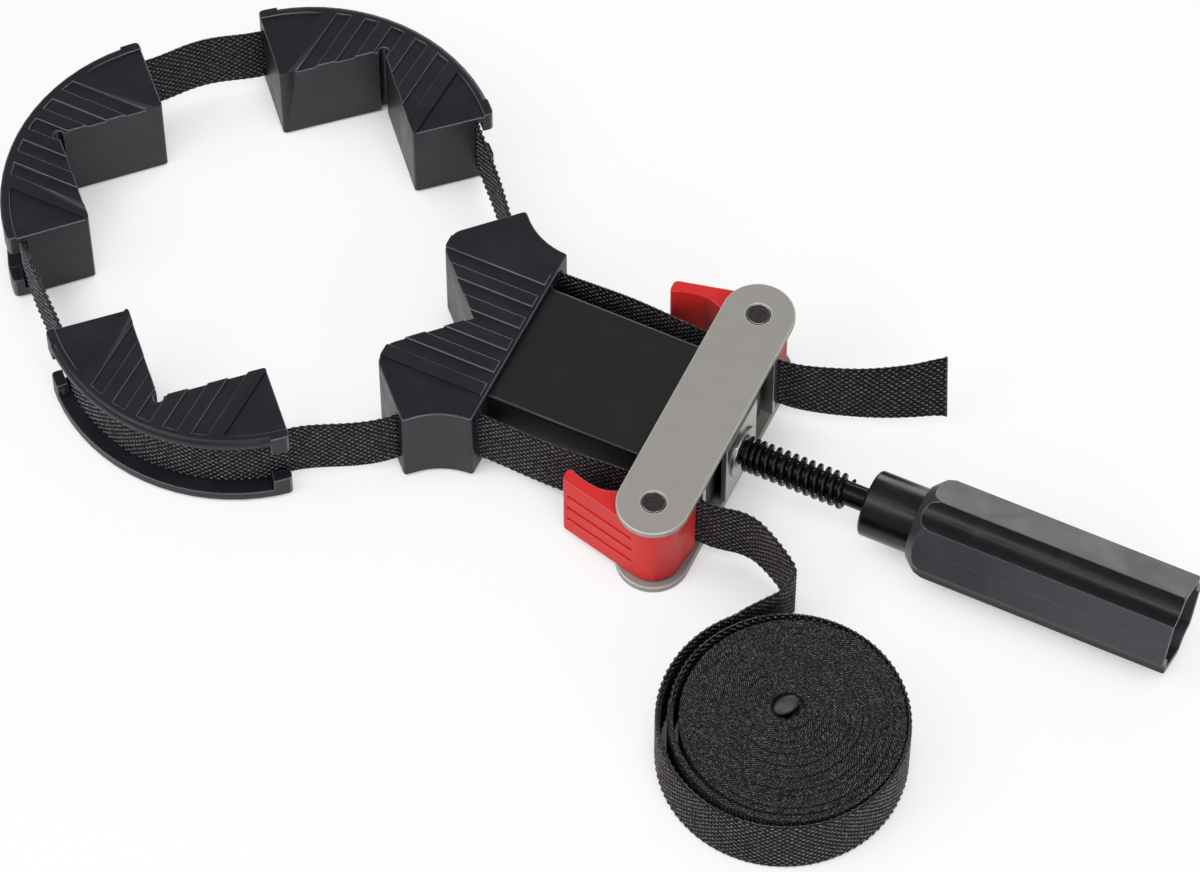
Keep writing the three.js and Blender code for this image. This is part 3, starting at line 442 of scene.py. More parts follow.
@dataclass(frozen=True)
class Metal:
    """Plated, painted or blackened steel with a fine even grit.

    The grit is drawn coarser than a real one, so that it shows in the render.
    """

    name: str
    slot: str
    colour: str
    mottled: str
    metallic: float
    roughness: float
    grit_mm: float = 0.6
    grit_depth_mm: float = 0.008
    mottle_mm: float = 9.0
    smoother: float = 0.07
    rougher: float = 0.09

    def material(self) -> bpy.types.Material:
        """Builds the metal's material.

        Returns:
            The material.
        """
        made, tree = new_material(self.name)
        place = add_node(tree, "ShaderNodeTexCoord")
        mottle = add_node(
            tree,
            "ShaderNodeTexNoise",
            {"Scale": 1 / (self.mottle_mm * MM), "Detail": 5.0, "Roughness": 0.6},
            {"Vector": place.outputs["Object"]},
        )
        tint = add_node(
            tree,
            "ShaderNodeMix",
            {"data_type": "RGBA", 6: linear(self.colour), 7: linear(self.mottled)},
            {0: mottle.outputs["Fac"]},
        )
        grit = add_node(
            tree,
            "ShaderNodeTexNoise",
            {"Scale": 1 / (self.grit_mm * MM), "Detail": 3.0, "Roughness": 0.65},
            {"Vector": place.outputs["Object"]},
        )
        low, high = self.roughness - self.smoother, self.roughness + self.rougher
        rough = add_node(
            tree,
            "ShaderNodeMapRange",
            {"From Min": 0.3, "From Max": 0.7, "To Min": low, "To Max": high},
            {"Value": grit.outputs["Fac"]},
        )
        links = {"Base Color": tint.outputs[2], "Roughness": rough.outputs["Result"]}
        show_surface(tree, {"Metallic": self.metallic}, links, grit.outputs["Fac"], self.grit_depth_mm)
        return made


@dataclass(frozen=True)
class Woven:
    """Polypropylene webbing: dark filament yarns with a dull sheen and paler fibres, their crowns painted lit
    and the gaps between them painted black as shade.

    The fibres are drawn coarser than real ones, so that they show in the render.
    """

    name: str
    slot: str
    colour: str
    fleck: str
    gap: str
    roughness: float
    sheen: float = 0.22
    yarn_mm: float = 0.82
    fibre_mm: float = 0.28
    fibre_depth_mm: float = 0.03
    fuzz_mm: float = 0.75
    # Painted light: crown share plus fuzz up to which a yarn stays in the gaps' painted black shade, and from
    # which it is painted fully lit
    dark_until: float = 0.86
    lit_from: float = 1.32

    def material(self) -> bpy.types.Material:
        """Builds the webbing's material on the strap's own lengthwise map.

        Returns:
            The material.
        """
        made, tree = new_material(self.name)
        place = add_node(tree, "ShaderNodeUVMap", {"uv_map": "along_strap"})
        run = add_node(
            tree,
            "ShaderNodeMapping",
            {"Scale": (1 / self.yarn_mm, 1 / self.fibre_mm, 1.0)},
            {"Vector": place.outputs["UV"]},
        )
        fibre = add_node(
            tree,
            "ShaderNodeTexNoise",
            {"Scale": 1.6, "Detail": 3.0, "Roughness": 0.6},
            {"Vector": run.outputs["Vector"]},
        )
        pale = add_node(
            tree,
            "ShaderNodeMapRange",
            {"From Min": 0.42, "From Max": 0.7, "To Min": 0.0, "To Max": 1.0},
            {"Value": fibre.outputs["Fac"]},
        )
        tint = add_node(
            tree,
            "ShaderNodeMix",
            {"data_type": "RGBA", 6: linear(self.colour), 7: linear(self.fleck)},
            {0: pale.outputs["Result"]},
        )
        crown_light = add_node(tree, "ShaderNodeAttribute", {"attribute_name": "crown_light"})
        solid = add_node(tree, "ShaderNodeTexCoord")
        fuzz = add_node(
            tree,
            "ShaderNodeTexNoise",
            {"Scale": 1 / (self.fuzz_mm * MM), "Detail": 2.0, "Roughness": 0.5},
            {"Vector": solid.outputs["Object"]},
        )
        raised = add_node(
            tree,
            "ShaderNodeMath",
            {"operation": "ADD"},
            {0: crown_light.outputs["Fac"], 1: fuzz.outputs["Fac"]},
        )
        lit = add_node(
            tree,
            "ShaderNodeMapRange",
            {"From Min": self.dark_until, "From Max": self.lit_from, "To Min": 0.0, "To Max": 1.0},
            {"Value": raised.outputs["Value"]},
        )
        # Painted light and shade: black in the gaps, the yarn's colour where the crowns are painted lit
        colour = add_node(
            tree,
            "ShaderNodeMix",
            {"data_type": "RGBA", 6: linear(self.gap)},
            {0: lit.outputs["Result"], 7: tint.outputs[2]},
        )
        dull = {"Roughness": self.roughness, "Specular IOR Level": self.sheen}
        show_surface(tree, dull, {"Base Color": colour.outputs[2]}, fibre.outputs["Fac"], self.fibre_depth_mm)
        return made


class FinishKind(Enum):
    """Every finish on the clamp."""

    # Glass-filled nylon, moulded: near black, satin, with the die's fine grain
    JAW_NYLON = Moulded("jaw_nylon", "black_plastic", "#19181f", "#201f27", 0.42, ior=1.4)
    # Edges of the nylon mouldings: a little smoother, and painted paler grey as a highlight along each rounded
    # edge
    JAW_EDGE = Moulded("jaw_edge_highlight", "black_plastic", "#4c4c54", "#5c5c65", 0.28, 0.5, 0.003)
    # Same nylon from a polished die: flatter and a little glossier, with hardly any grain
    SHANK_NYLON = Moulded(
        "shank_nylon", "black_shank", "#0f0e12", "#131216", 0.38, 0.3, 0.004, rough_spread=0.02
    )
    # ABS handle: dark grey, semi-matt, its die grain just visible
    GRIP_ABS = Moulded("grip_abs", "grey_plastic", "#35353b", "#3c3c42", 0.42, 0.5, 0.015)
    # Edges and parting lines of the grip: a little smoother, and painted paler as a highlight line
    GRIP_EDGE = Moulded("grip_edge_highlight", "grey_plastic", "#47474d", "#515157", 0.35, 0.5, 0.003)
    # Collar and flutes of the grip come from polished parts of the die: darker and glossy
    COLLAR_ABS = Moulded("collar_abs", "grey_plastic", "#101013", "#151518", 0.24, 0.6, 0.012, ior=1.44)
    # Red acetal levers: bright, satin, a touch paler where they are handled
    LEVER_ACETAL = Moulded("lever_acetal", "red_plastic", "#d22424", "#d63030", 0.5, 0.5, 0.008, ior=1.38)
    # Edges of the levers, painted a paler red as a highlight along each rounded edge
    LEVER_EDGE = Moulded("lever_edge", "red_plastic", "#d23335", "#d84442", 0.4, 0.5, 0.003)
    # Powder-coated steel plates: warm grey with a fine orange-peel
    PLATE_POWDER = Metal("plate_powder", "grey_paint", "#9b9892", "#a4a19b", 0.3, 0.5, 0.5, 0.02)
    # Sheared edges of the plates, painted paler as a highlight along each rounded edge
    PLATE_EDGE = Metal("plate_edge", "grey_paint", "#bdbbb5", "#c8c6c1", 0.3, 0.38, 0.5, 0.01)
    # Zinc-plated mild steel: bright and cold, with a fine even grit
    ZINC_STEEL = Metal("zinc_steel", "bright_steel", "#b9b9b7", "#a8a8a8", 1.0, 0.32, 0.5, 0.01)
    # Burnished rivet steel: dark, uneven, pressed by the riveting tool
    RIVET_STEEL = Metal("rivet_steel", "dark_steel", "#565053", "#2c292b", 0.8, 0.45, 1.1, 0.16, 1.6)
    # Black-oxide steel under oil: glossy and nearly black
    OXIDE_STEEL = Metal("oxide_steel", "black_steel", "#1c1a1c", "#121113", 0.7, 0.22, 0.5, 0.006)
    # Polypropylene webbing: dark filament yarns with a dull sheen, lit crowns and black gaps painted on as
    # light and shade
    WEBBING = Woven("webbing_yarn", "webbing", "#443b44", "#c6bdc7", "#020202", 0.58)
    # The strap's cut ends, melted to an uneven dark grey bead
    FUSED_END = Moulded("fused_end", "webbing", "#303033", "#4b4b4f", 0.45, 1.4, 0.2)


# The finish that a piece's rounded edges get, where it isn't the one of its faces: a paler colour painted on
# as a highlight
EDGE_HIGHLIGHT_FINISH = {
    FinishKind.PLATE_POWDER: FinishKind.PLATE_EDGE,
    FinishKind.LEVER_ACETAL: FinishKind.LEVER_EDGE,
    FinishKind.JAW_NYLON: FinishKind.JAW_EDGE,
    FinishKind.SHANK_NYLON: FinishKind.JAW_EDGE,
    FinishKind.GRIP_ABS: FinishKind.GRIP_EDGE,
}


@dataclass
class Palette:
    """The built materials, one per finish."""

    built: dict[FinishKind, bpy.types.Material] = field(default_factory=dict)

    def get(self, kind: FinishKind) -> bpy.types.Material:
        """Gives a finish's material, built the first time it is asked for.

        Args:
            kind: The finish.

        Returns:
            Its material.
        """
        if kind not in self.built:
            self.built[kind] = kind.value.material()
        return self.built[kind]

    def dress(self, piece: bpy.types.Object, kind: FinishKind) -> None:
        """Paints a whole piece with a finish.

        Args:
            piece: The object to paint.
            kind: The finish that it gets.
        """
        piece.data.materials.clear()
        piece.data.materials.append(self.get(kind))
        LOG.info("%s dressed as %s, %d faces", piece.name, kind.name, len(piece.data.polygons))


# Mouldings, plates and springs


@dataclass(frozen=True)
class Dressing:
    """How one CAD node is dressed: the body it rides on, its finish and its edge radius or wire swell."""

    node: str
    body: str
    finish: FinishKind
    edge_mm: float = 0.0
    segments: int = 2
    foot_mm: float = 0.0
    swell_mm: float = 0.0


@dataclass
class HardPieces:
    """The rigid pieces that keep their CAD form and get real edge radii and finishes."""

    palette: Palette
    collar_end_mm: float = 76.0
    flute_reach_mm: float = 14.5
    flute_tilt: float = 0.3
    # Where the leg of a lever's torsion spring lies, and how far it reaches towards the jaws
    leg_y_mm: float = 44.8
    leg_z_mm: float = 4.4
    leg_length_mm: float = 6.0
    dressings: tuple[Dressing, ...] = (
        Dressing("frame_bottom_plate", "frame", FinishKind.PLATE_POWDER, 0.4),
        Dressing("frame_top_plate", "frame", FinishKind.PLATE_POWDER, 0.4),
        Dressing("pivot_pin_left", "frame", FinishKind.RIVET_STEEL, 0.25),
        Dressing("pivot_pin_right", "frame", FinishKind.RIVET_STEEL, 0.25),
        Dressing("anvil_plate_left", "frame", FinishKind.ZINC_STEEL, 0.15),
        Dressing("anvil_plate_right", "frame", FinishKind.ZINC_STEEL, 0.15),
        Dressing("nut_bracket", "frame", FinishKind.ZINC_STEEL, 0.25),
        Dressing("spindle_nut", "frame", FinishKind.RIVET_STEEL, 0.3),
        Dressing("lever_spring_left", "frame", FinishKind.ZINC_STEEL, swell_mm=0.14),
        Dressing("lever_spring_right", "frame", FinishKind.ZINC_STEEL, swell_mm=0.14),
        Dressing("spindle_spring", "frame", FinishKind.OXIDE_STEEL, swell_mm=0.2),
        Dressing("cam_lever_left", "lever_left", FinishKind.LEVER_ACETAL, 0.4, 3, foot_mm=3.5),
        Dressing("cam_lever_right", "lever_right", FinishKind.LEVER_ACETAL, 0.4, 3, foot_mm=3.5),
        Dressing("pusher_head", "pusher", FinishKind.JAW_NYLON, 0.42),
        Dressing("pusher_shank", "pusher", FinishKind.SHANK_NYLON, 0.4),
        Dressing("thrust_washer", "pusher", FinishKind.ZINC_STEEL, 0.2),
        Dressing("spindle", "spindle", FinishKind.OXIDE_STEEL, 0.2),
        Dressing("spindle_clip", "spindle", FinishKind.ZINC_STEEL, 0.1),
        Dressing("handle", "spindle", FinishKind.GRIP_ABS, 0.2),
        Dressing("corner_jaw_back", "jaw_back", FinishKind.JAW_NYLON, 0.34),
        Dressing("corner_jaw_far", "jaw_far", FinishKind.JAW_NYLON, 0.34),
        Dressing("corner_jaw_front", "jaw_front", FinishKind.JAW_NYLON, 0.34),
    )

    def shape(self, plan: Dressing) -> bpy.types.Object:
        """Makes one dressed copy, as a wire if it has a swell and as a moulding otherwise.

        Args:
            plan: How the node is dressed.

        Returns:
            The new piece.
        """
        name = f"{plan.node}_dressed"
        edge_finish = EDGE_HIGHLIGHT_FINISH.get(plan.finish, plan.finish)
        materials = [self.palette.get(kind) for kind in (plan.finish, edge_finish)]
        if plan.swell_mm > 0:
            return wire_from(plan.node, name, materials, plan.swell_mm)
        width, foot = plan.edge_mm * MM, plan.foot_mm * MM
        return moulding_from(plan.node, name, materials, width, plan.segments, foot)

    def build(self) -> None:
        """Makes every dressed copy, puts it on its body, the lever springs on none, and hides the CAD node."""
        for plan in self.dressings:
            piece = self.shape(plan)
            if plan.node == "handle":
                self.polish(piece)
            if plan.node.startswith("lever_spring"):
                self.follow_lever(piece)
            else:
                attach(piece, plan.body)
            if plan.node == "spindle_spring":
                self.press(piece)
            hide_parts(plan.node)
            LOG.info("%s as %s, %d faces", piece.name, plan.finish.name, len(piece.data.polygons))

    def polish(self, handle: bpy.types.Object) -> None:
        """Gives the handle's collar and flutes the glossier finish of their polished die.

        Args:
            handle: The dressed handle.
        """
        handle.data.materials.append(self.palette.get(FinishKind.COLLAR_ABS))
        polished = len(handle.data.materials) - 1
        for face in handle.data.polygons:
            outward = face.normal.y * face.center.y + face.normal.z * (face.center.z - AXIS_HEIGHT)
            in_flute = 0.0 < outward < self.flute_reach_mm * MM and abs(face.normal.x) < self.flute_tilt
            if face.center.x < self.collar_end_mm * MM or (in_flute and face.material_index == 0):
                face.material_index = polished

    def follow_lever(self, spring: bpy.types.Object) -> None:
        """Bakes a torsion spring's place into its mesh, so that it rides on no body.

        Args:
            spring: The dressed spring.
        """
        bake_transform(spring)

    def press(self, spring: bpy.types.Object) -> None:
        """Gives the spindle's spring a mesh of its own."""
        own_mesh(spring)


@dataclass
class Details:
    """Small parts that the solids leave out: rings on the rivets and the parting lines of the grip."""

    palette: Palette
    rivet_y: float = 40.0
    plate_top: float = 35.0
    ring_depth: float = 0.14
    ring_thickness: float = 0.26
    rings: tuple[tuple[str, float, FinishKind], ...] = (
        ("rim", 3.74, FinishKind.ZINC_STEEL),
        ("mark", 2.3, FinishKind.RIVET_STEEL),
        ("eye", 0.9, FinishKind.RIVET_STEEL),
    )
    grip_from: float = 84.5
    grip_to: float = 165.0
    grip_flat: float = 14.9
    grip_roll: float = 64.0
    ridge_width: float = 0.22
    ridge_height: float = 0.3

    def finish(self, piece: bpy.types.Object, kind: FinishKind, body: str, node: str) -> None:
        """Settles, paints and places one small part.

        Args:
            piece: The part.
            kind: Its finish.
            body: The body that it rides on.
            node: The CAD node that it stands for in part.
        """
        settle(piece)
        bpy.ops.object.shade_smooth_by_angle(angle=SMOOTH_ANGLE)
        self.palette.dress(piece, kind)
        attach(piece, body)
        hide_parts(node)

    def placed_copy(self, model: bpy.types.Object, name: str, place: Vector, roll: float) -> bpy.types.Object:
        """Copies a part with its own mesh, and puts the copy in its place.

        Args:
            model: The part to copy.
            name: The copy's name.
            place: Where it goes, in metres.
            roll: How far it is turned about the spindle's direction, in radians.

        Returns:
            The copy.
        """
        piece = bpy.data.objects.new(name, model.data.copy())
        bpy.context.scene.collection.objects.link(piece)
        piece.location = place
        piece.rotation_euler = (roll, 0.0, 0.0)
        return piece

    def rivets(self) -> None:
        """Rings that the riveting tool left on each head, above and below."""
        models = {}
        for ring, radius, _ in self.rings:
            deselect()
            bpy.ops.mesh.primitive_torus_add(
                major_segments=48,
                minor_segments=10,
                major_radius=radius * MM,
                minor_radius=self.ring_thickness / 2 * MM,
            )
            models[ring] = bpy.context.object
        for side, name in SIDES:
            for face, height in (("top", self.plate_top - self.ring_depth), ("bottom", self.ring_depth)):
                place = Vector((0, side * self.rivet_y * MM, height * MM))
                for ring, _, kind in self.rings:
                    piece = self.placed_copy(models[ring], f"rivet_{ring}_{name}_{face}", place, 0.0)
                    self.finish(piece, kind, "frame", f"pivot_pin_{name}")
        for model in models.values():
            bpy.data.objects.remove(model)

    def parting_lines(self) -> None:
        """The fine ridge that the halves of the die left along two flats of the grip."""
        deselect()
        length = self.grip_to - self.grip_from
        bpy.ops.mesh.primitive_cube_add(
            size=1.0, scale=(length * MM, self.ridge_width * MM, self.ridge_height * MM)
        )
        model = bpy.context.object
        settle(model)
        for index, turn in enumerate((self.grip_roll + 90, self.grip_roll - 90)):
            angle = math.radians(turn)
            place = Vector(
                (
                    (self.grip_from + self.grip_to) / 2 * MM,
                    self.grip_flat * math.cos(angle) * MM,
                    AXIS_HEIGHT + self.grip_flat * math.sin(angle) * MM,
                )
            )
            piece = self.placed_copy(model, f"parting_line_{index + 1}", place, angle)
            # The ridges take the grip's paler edge colour, painted on as a highlight
            self.finish(piece, FinishKind.GRIP_EDGE, "spindle", "handle")
        bpy.data.objects.remove(model)

    def build(self) -> None:
        """Makes all small parts."""
        self.rivets()
        self.parting_lines()


# The woven strap


def unit(vectors: np.ndarray) -> np.ndarray:
    """Scales each row to length one."""
    return vectors / np.linalg.norm(vectors, axis=-1, keepdims=True)


@dataclass(frozen=True)
class Weave:
    """Sizes of the webbing's weave, in metres, read from the photograph's rows of short floats."""

    width: float = 25.0 * MM
    half_thickness: float = 0.58 * MM
    float_length: float = 2.5 * MM
    step: float = 0.4167 * MM
    crown_swing: float = 0.6 * MM
    valley_depth: float = 0.4 * MM
    bead_swing: float = 0.4 * MM
    selvage: float = 0.3 * MM


@dataclass
class Route:
    """The middle line of one stretch of strap, with the direction of its width at each point."""

    points: np.ndarray
    ups: np.ndarray
    start_mm: float = 0.0

    @staticmethod
    def flat(points_mm: np.ndarray, start_mm: float = 0.0) -> "Route":
        """Makes a route whose width stands upright.

        Args:
            points_mm: Points of the middle line in millimetres.
            start_mm: Length of strap before this stretch, for the weave's count.

        Returns:
            The route.
        """
        line = np.asarray(points_mm, float) * MM
        return Route(line, np.tile((0.0, 0.0, 1.0), (len(line), 1)), start_mm)

    @property
    def lengths(self) -> np.ndarray:
        """Distance along the route at each of its points."""
        steps = np.linalg.norm(np.diff(self.points, axis=0), axis=1)
        return np.concatenate(([0.0], np.cumsum(steps)))

    @property
    def length(self) -> float:
        """The route's whole length in metres."""
        return float(self.lengths[-1])

    def even(self, step: float) -> tuple[np.ndarray, np.ndarray, np.ndarray]:
        """Gives points, width directions and distances at even steps.

        Args:
            step: The wanted distance between two stations.

        Returns:
            Points, width directions and distances along the route.
        """
        lengths = self.lengths
        count = max(2, int(round(lengths[-1] / step)) + 1)
        at = np.linspace(0.0, lengths[-1], count)
        points = np.stack([np.interp(at, lengths, self.points[:, k]) for k in range(3)], axis=1)
        ups = np.stack([np.interp(at, lengths, self.ups[:, k]) for k in range(3)], axis=1)
        return points, unit(ups), at


@dataclass
class WovenPiece:
    """One closed mesh of webbing along a route, every yarn's float raised on both faces."""

    name: str
    route: Route
    weave: Weave = Weave()
    outer_yarns: int = 21
    inner_yarns: int = 21
    edge_rows: int = 3
    thickness_at: Callable[[np.ndarray], np.ndarray] | None = None
    drop_at: Callable[[np.ndarray], np.ndarray] | None = None
    edge_spread: float = 0.86
    # Painted light on the selvage beads and on plain faces, as shares of full light
    edge_glint: float = 0.9
    plain_glint: float = 0.3

    def drop(self, at: np.ndarray) -> np.ndarray:
        """Gives how far both selvages are drawn in.

        Args:
            at: Distances along this stretch in metres.

        Returns:
            One column with the draw at each of them.
        """
        if self.drop_at is None:
            return np.zeros((len(at), 1))
        return self.drop_at(at)[:, None]

    def half(self, at: np.ndarray) -> np.ndarray:
        """Gives half of the thickness.

        Args:
            at: Distances along this stretch in metres.

        Returns:
            One column with the half thickness at each of them.
        """
        if self.thickness_at is None:
            return np.full((len(at), 1), self.weave.half_thickness)
        return self.thickness_at(at)[:, None]

    def face(
        self, yarns: int, sign: int, along: np.ndarray, half: np.ndarray
    ) -> tuple[np.ndarray, np.ndarray, np.ndarray]:
        """Heights of one face of the cross-section at every station.

        Args:
            yarns: How many yarns the face shows; 0 leaves it plain.
            sign: 1 for the face that the width turns towards, -1 for the other.
            along: Distances along the whole strap in metres.
            half: Half of the thickness at each station.

        Returns:
            Places across the width, offsets from the middle and shares of painted light on the crowns,
            stations by columns.
        """
        weave = self.weave
        rim = weave.width / 2 - weave.selvage
        if yarns == 0:
            across = np.tile((-rim, rim), (len(along), 1))
            return across, sign * np.tile(half, (1, 2)), np.full(across.shape, self.plain_glint)
        across = np.tile(np.linspace(-rim, rim, 2 * yarns + 1), (len(along), 1))
        column = np.arange(2 * yarns + 1)
        on_yarn = (column % 2 == 1)[None, :]
        phase = 2 * np.pi * along[:, None] / weave.float_length + np.pi * (column[None, :] // 2)
        over = 0.5 + 0.5 * sign * np.cos(phase)
        high = half + weave.crown_swing * (2 * over - 1) * 0.5
        low = np.tile(half - weave.valley_depth, (1, len(column)))
        return across, sign * np.where(on_yarn, high, low), on_yarn * over

    def edge(
        self, sign: int, along: np.ndarray, half: np.ndarray
    ) -> tuple[np.ndarray, np.ndarray, np.ndarray]:
        """Rows of beads along one selvage.

        Args:
            sign: 1 for the upper selvage, -1 for the lower one.
            along: Distances along the whole strap in metres.
            half: Half of the thickness at each station.

        Returns:
            Places across the width, offsets from the middle and shares of painted light on the beads, stations
            by rows.
        """
        weave = self.weave
        rows = np.linspace(1, -1, self.edge_rows + 2)[1:-1]
        phase = 2 * np.pi * along[:, None] / weave.float_length
        knob = np.cos(phase + np.pi * np.arange(len(rows))[None, :])
        round_off = weave.selvage * np.abs(rows)[None, :] ** 2
        reach = weave.width / 2 - round_off + weave.bead_swing * (knob - 1) * 0.5
        height = sign * half * rows[None, :] * self.edge_spread
        return sign * reach, height, self.edge_glint * (0.5 + 0.5 * knob)

    def section(self, at: np.ndarray, along: np.ndarray) -> list[np.ndarray]:
        """The cross-section at every station, once round.

        Args:
            at: Distances along this stretch in metres.
            along: Distances along the whole strap in metres.

        Returns:
            Places across the width, offsets from the middle and shares of painted light on the crowns,
            stations by columns.
        """
        half = self.half(at)
        plus = self.face(self.outer_yarns, 1, along, half)
        minus = self.face(self.inner_yarns, -1, along, half)
        top, low = self.edge(1, along, half), self.edge(-1, along, half)
        across, height, crown_light = (
            np.concatenate([plus[k], top[k], minus[k][:, ::-1], low[k]], axis=1) for k in range(3)
        )
        return [across * (1 - self.drop(at) / (self.weave.width / 2)), height, crown_light]

    def build(self) -> bpy.types.Object:
        """Makes the mesh, its lengthwise map and its attribute of painted light on the crowns.

        Returns:
            The new piece.
        """
        points, ups, at = self.route.even(self.weave.step)
        faces = unit(np.cross(ups, unit(np.gradient(points, axis=0))))
        along = at + self.route.start_mm * MM
        across, height, crown_light = self.section(at, along)
        stations, ring = across.shape
        wide, thick = ups[:, None, :] * across[..., None], faces[:, None, :] * height[..., None]
        verts = points[:, None, :] + wide + thick
        index = np.arange(stations * ring).reshape(stations, ring)
        here, next_one = index[:-1], index[1:]
        round_corners = [here, next_one, np.roll(next_one, -1, axis=1), np.roll(here, -1, axis=1)]
        quads = np.stack(round_corners, axis=-1).reshape(-1, 4)
        corners = np.concatenate([quads.ravel(), index[0], index[-1][::-1]])
        starts = np.concatenate([np.arange(len(quads)) * 4, [len(quads) * 4, len(quads) * 4 + ring]])
        mesh = bpy.data.meshes.new(self.name)
        mesh.vertices.add(stations * ring)
        mesh.vertices.foreach_set("co", verts.ravel())
        mesh.loops.add(len(corners))
        mesh.loops.foreach_set("vertex_index", corners.astype(np.int32))
        mesh.polygons.add(len(starts))
        mesh.polygons.foreach_set("loop_start", starts.astype(np.int32))
        mesh.update(calc_edges=True)
        mesh.polygons.foreach_set("use_smooth", np.ones(len(starts), dtype=bool))
        lengthwise = np.tile(along[:, None], (1, ring)) / MM
        crosswise = across / MM + np.where(height >= 0, 0.0, FACE_MAP_SHIFT)
        uv = np.stack([lengthwise, crosswise], axis=-1).reshape(-1, 2)
        mesh.uv_layers.new(name="along_strap").data.foreach_set("uv", uv[corners].ravel())
        mesh.attributes.new("crown_light", "FLOAT", "POINT").data.foreach_set("value", crown_light.ravel())
        mesh.validate()
        piece = bpy.data.objects.new(self.name, mesh)
        bpy.context.scene.collection.objects.link(piece)
        return piece


def lay(palette: Palette, piece: WovenPiece, node: str) -> bpy.types.Object:
    """Args:
        palette: The built materials.
        piece: The stretch.
        node: The CAD node that it stands for.

    Returns:
        The new piece, riding on nothing yet.
    """
    made = piece.build()
    palette.dress(made, FinishKind.WEBBING)
    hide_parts(node)
    LOG.info("%s is %.1f mm long", piece.name, piece.route.length / MM)
    return made


def curve_through(points: Sequence[Sequence[float]], steps: int = 24) -> np.ndarray:
    """Runs a centripetal Catmull-Rom curve through points in the plane.

    Args:
        points: The points to pass.
        steps: Steps between two of them.

    Returns:
        The curve's points.
    """

    def between(first: np.ndarray, second: np.ndarray, start: float, stop: float) -> np.ndarray:
        """Goes evenly from the first points to the second ones as t goes from start to stop."""
        return first * (stop - t) / (stop - start) + second * (t - start) / (stop - start)

    knots = np.array(points, float)
    knots = np.vstack([2 * knots[0] - knots[1], knots, 2 * knots[-1] - knots[-2]])
    found = []
    for first in range(len(knots) - 3):
        a, b, c, d = knots[first : first + 4]
        t0 = 0.0
        t1 = t0 + np.linalg.norm(b - a) ** 0.5
        t2 = t1 + np.linalg.norm(c - b) ** 0.5
        t3 = t2 + np.linalg.norm(d - c) ** 0.5
        t = np.linspace(t1, t2, steps, endpoint=False)[:, None]
        ab, bc, cd = between(a, b, t0, t1), between(b, c, t1, t2), between(c, d, t2, t3)
        found.append(between(between(ab, bc, t0, t2), between(bc, cd, t1, t3), t1, t2))
    return np.vstack([*found, knots[-2]])


def level(x: np.ndarray, y: np.ndarray) -> np.ndarray:
    """Points at the strap's middle height, in millimetres."""
    return np.column_stack([x, y, np.full(len(x), AXIS_HEIGHT / MM)])


@dataclass(frozen=True)
class StrapEnd:
    """A place where two stretches of strap meet, and the heading in radians from there into the stretch."""

    x: float
    y: float
    heading: float

    @property
    def point(self) -> np.ndarray:
        """The place at the strap's middle height."""
        return np.array((self.x, self.y, AXIS_HEIGHT / MM))

    @property
    def away(self) -> np.ndarray:
        """The heading as a level direction."""
        return np.array((math.cos(self.heading), math.sin(self.heading), 0.0))

    def span_to(self, stop: "StrapEnd", bow: float, steps: int = 120) -> np.ndarray:
        """A smooth stretch that leaves both ends straight and bulges to one side.

        Args:
            stop: Where the stretch ends.
            bow: How far it bulges past its curve, in millimetres.
            steps: Steps along it.

        Returns:
            Points in millimetres.
        """
        chord = stop.point - self.point
        reach = np.linalg.norm(chord) / 3
        side = unit(np.array((-chord[1], chord[0], 0.0)))
        corners = (self.point, self.point + self.away * reach, stop.point + stop.away * reach, stop.point)
        t = np.linspace(0, 1, steps + 1)[:, None]
        weights = ((1 - t) ** 3, 3 * t * (1 - t) ** 2, 3 * t**2 * (1 - t), t**3)
        return sum(w * c for w, c in zip(weights, corners)) + side * bow * np.sin(math.pi * t) ** 2


@dataclass(frozen=True)
class JawPlace:
    """Where a corner jaw stands: its inner corner and the way that it faces, in millimetres and degrees."""

    x: float
    y: float
    facing: float
    arc_centre: float = 50.9
    strap_radius: float = 58.4
    half_bend: float = 45.0
    steps: int = 80

    def arc(self) -> np.ndarray:
        """Gives the strap's bend round the jaw.

        Returns:
            Points in millimetres.
        """
        ends = [math.radians(180 + side * self.half_bend) for side in (-1, 1)]
        angle = np.linspace(*ends, self.steps + 1)
        x = self.arc_centre + self.strap_radius * np.cos(angle)
        y = self.strap_radius * np.sin(angle)
        cosine, sine = math.cos(math.radians(self.facing)), math.sin(math.radians(self.facing))
        return level(self.x + x * cosine - y * sine, self.y + x * sine + y * cosine)

    def end(self, side: int) -> StrapEnd:
        """Gives one end of the bend, with the heading away from the jaw.

        Args:
            side: 1 for the bend's start, -1 for its end.

        Returns:
            The end.
        """
        x, y, _ = self.arc()[0 if side == 1 else -1]
        angle = math.radians(180 - side * self.half_bend + self.facing)
        return StrapEnd(x, y, angle + side * math.pi / 2 + math.pi)


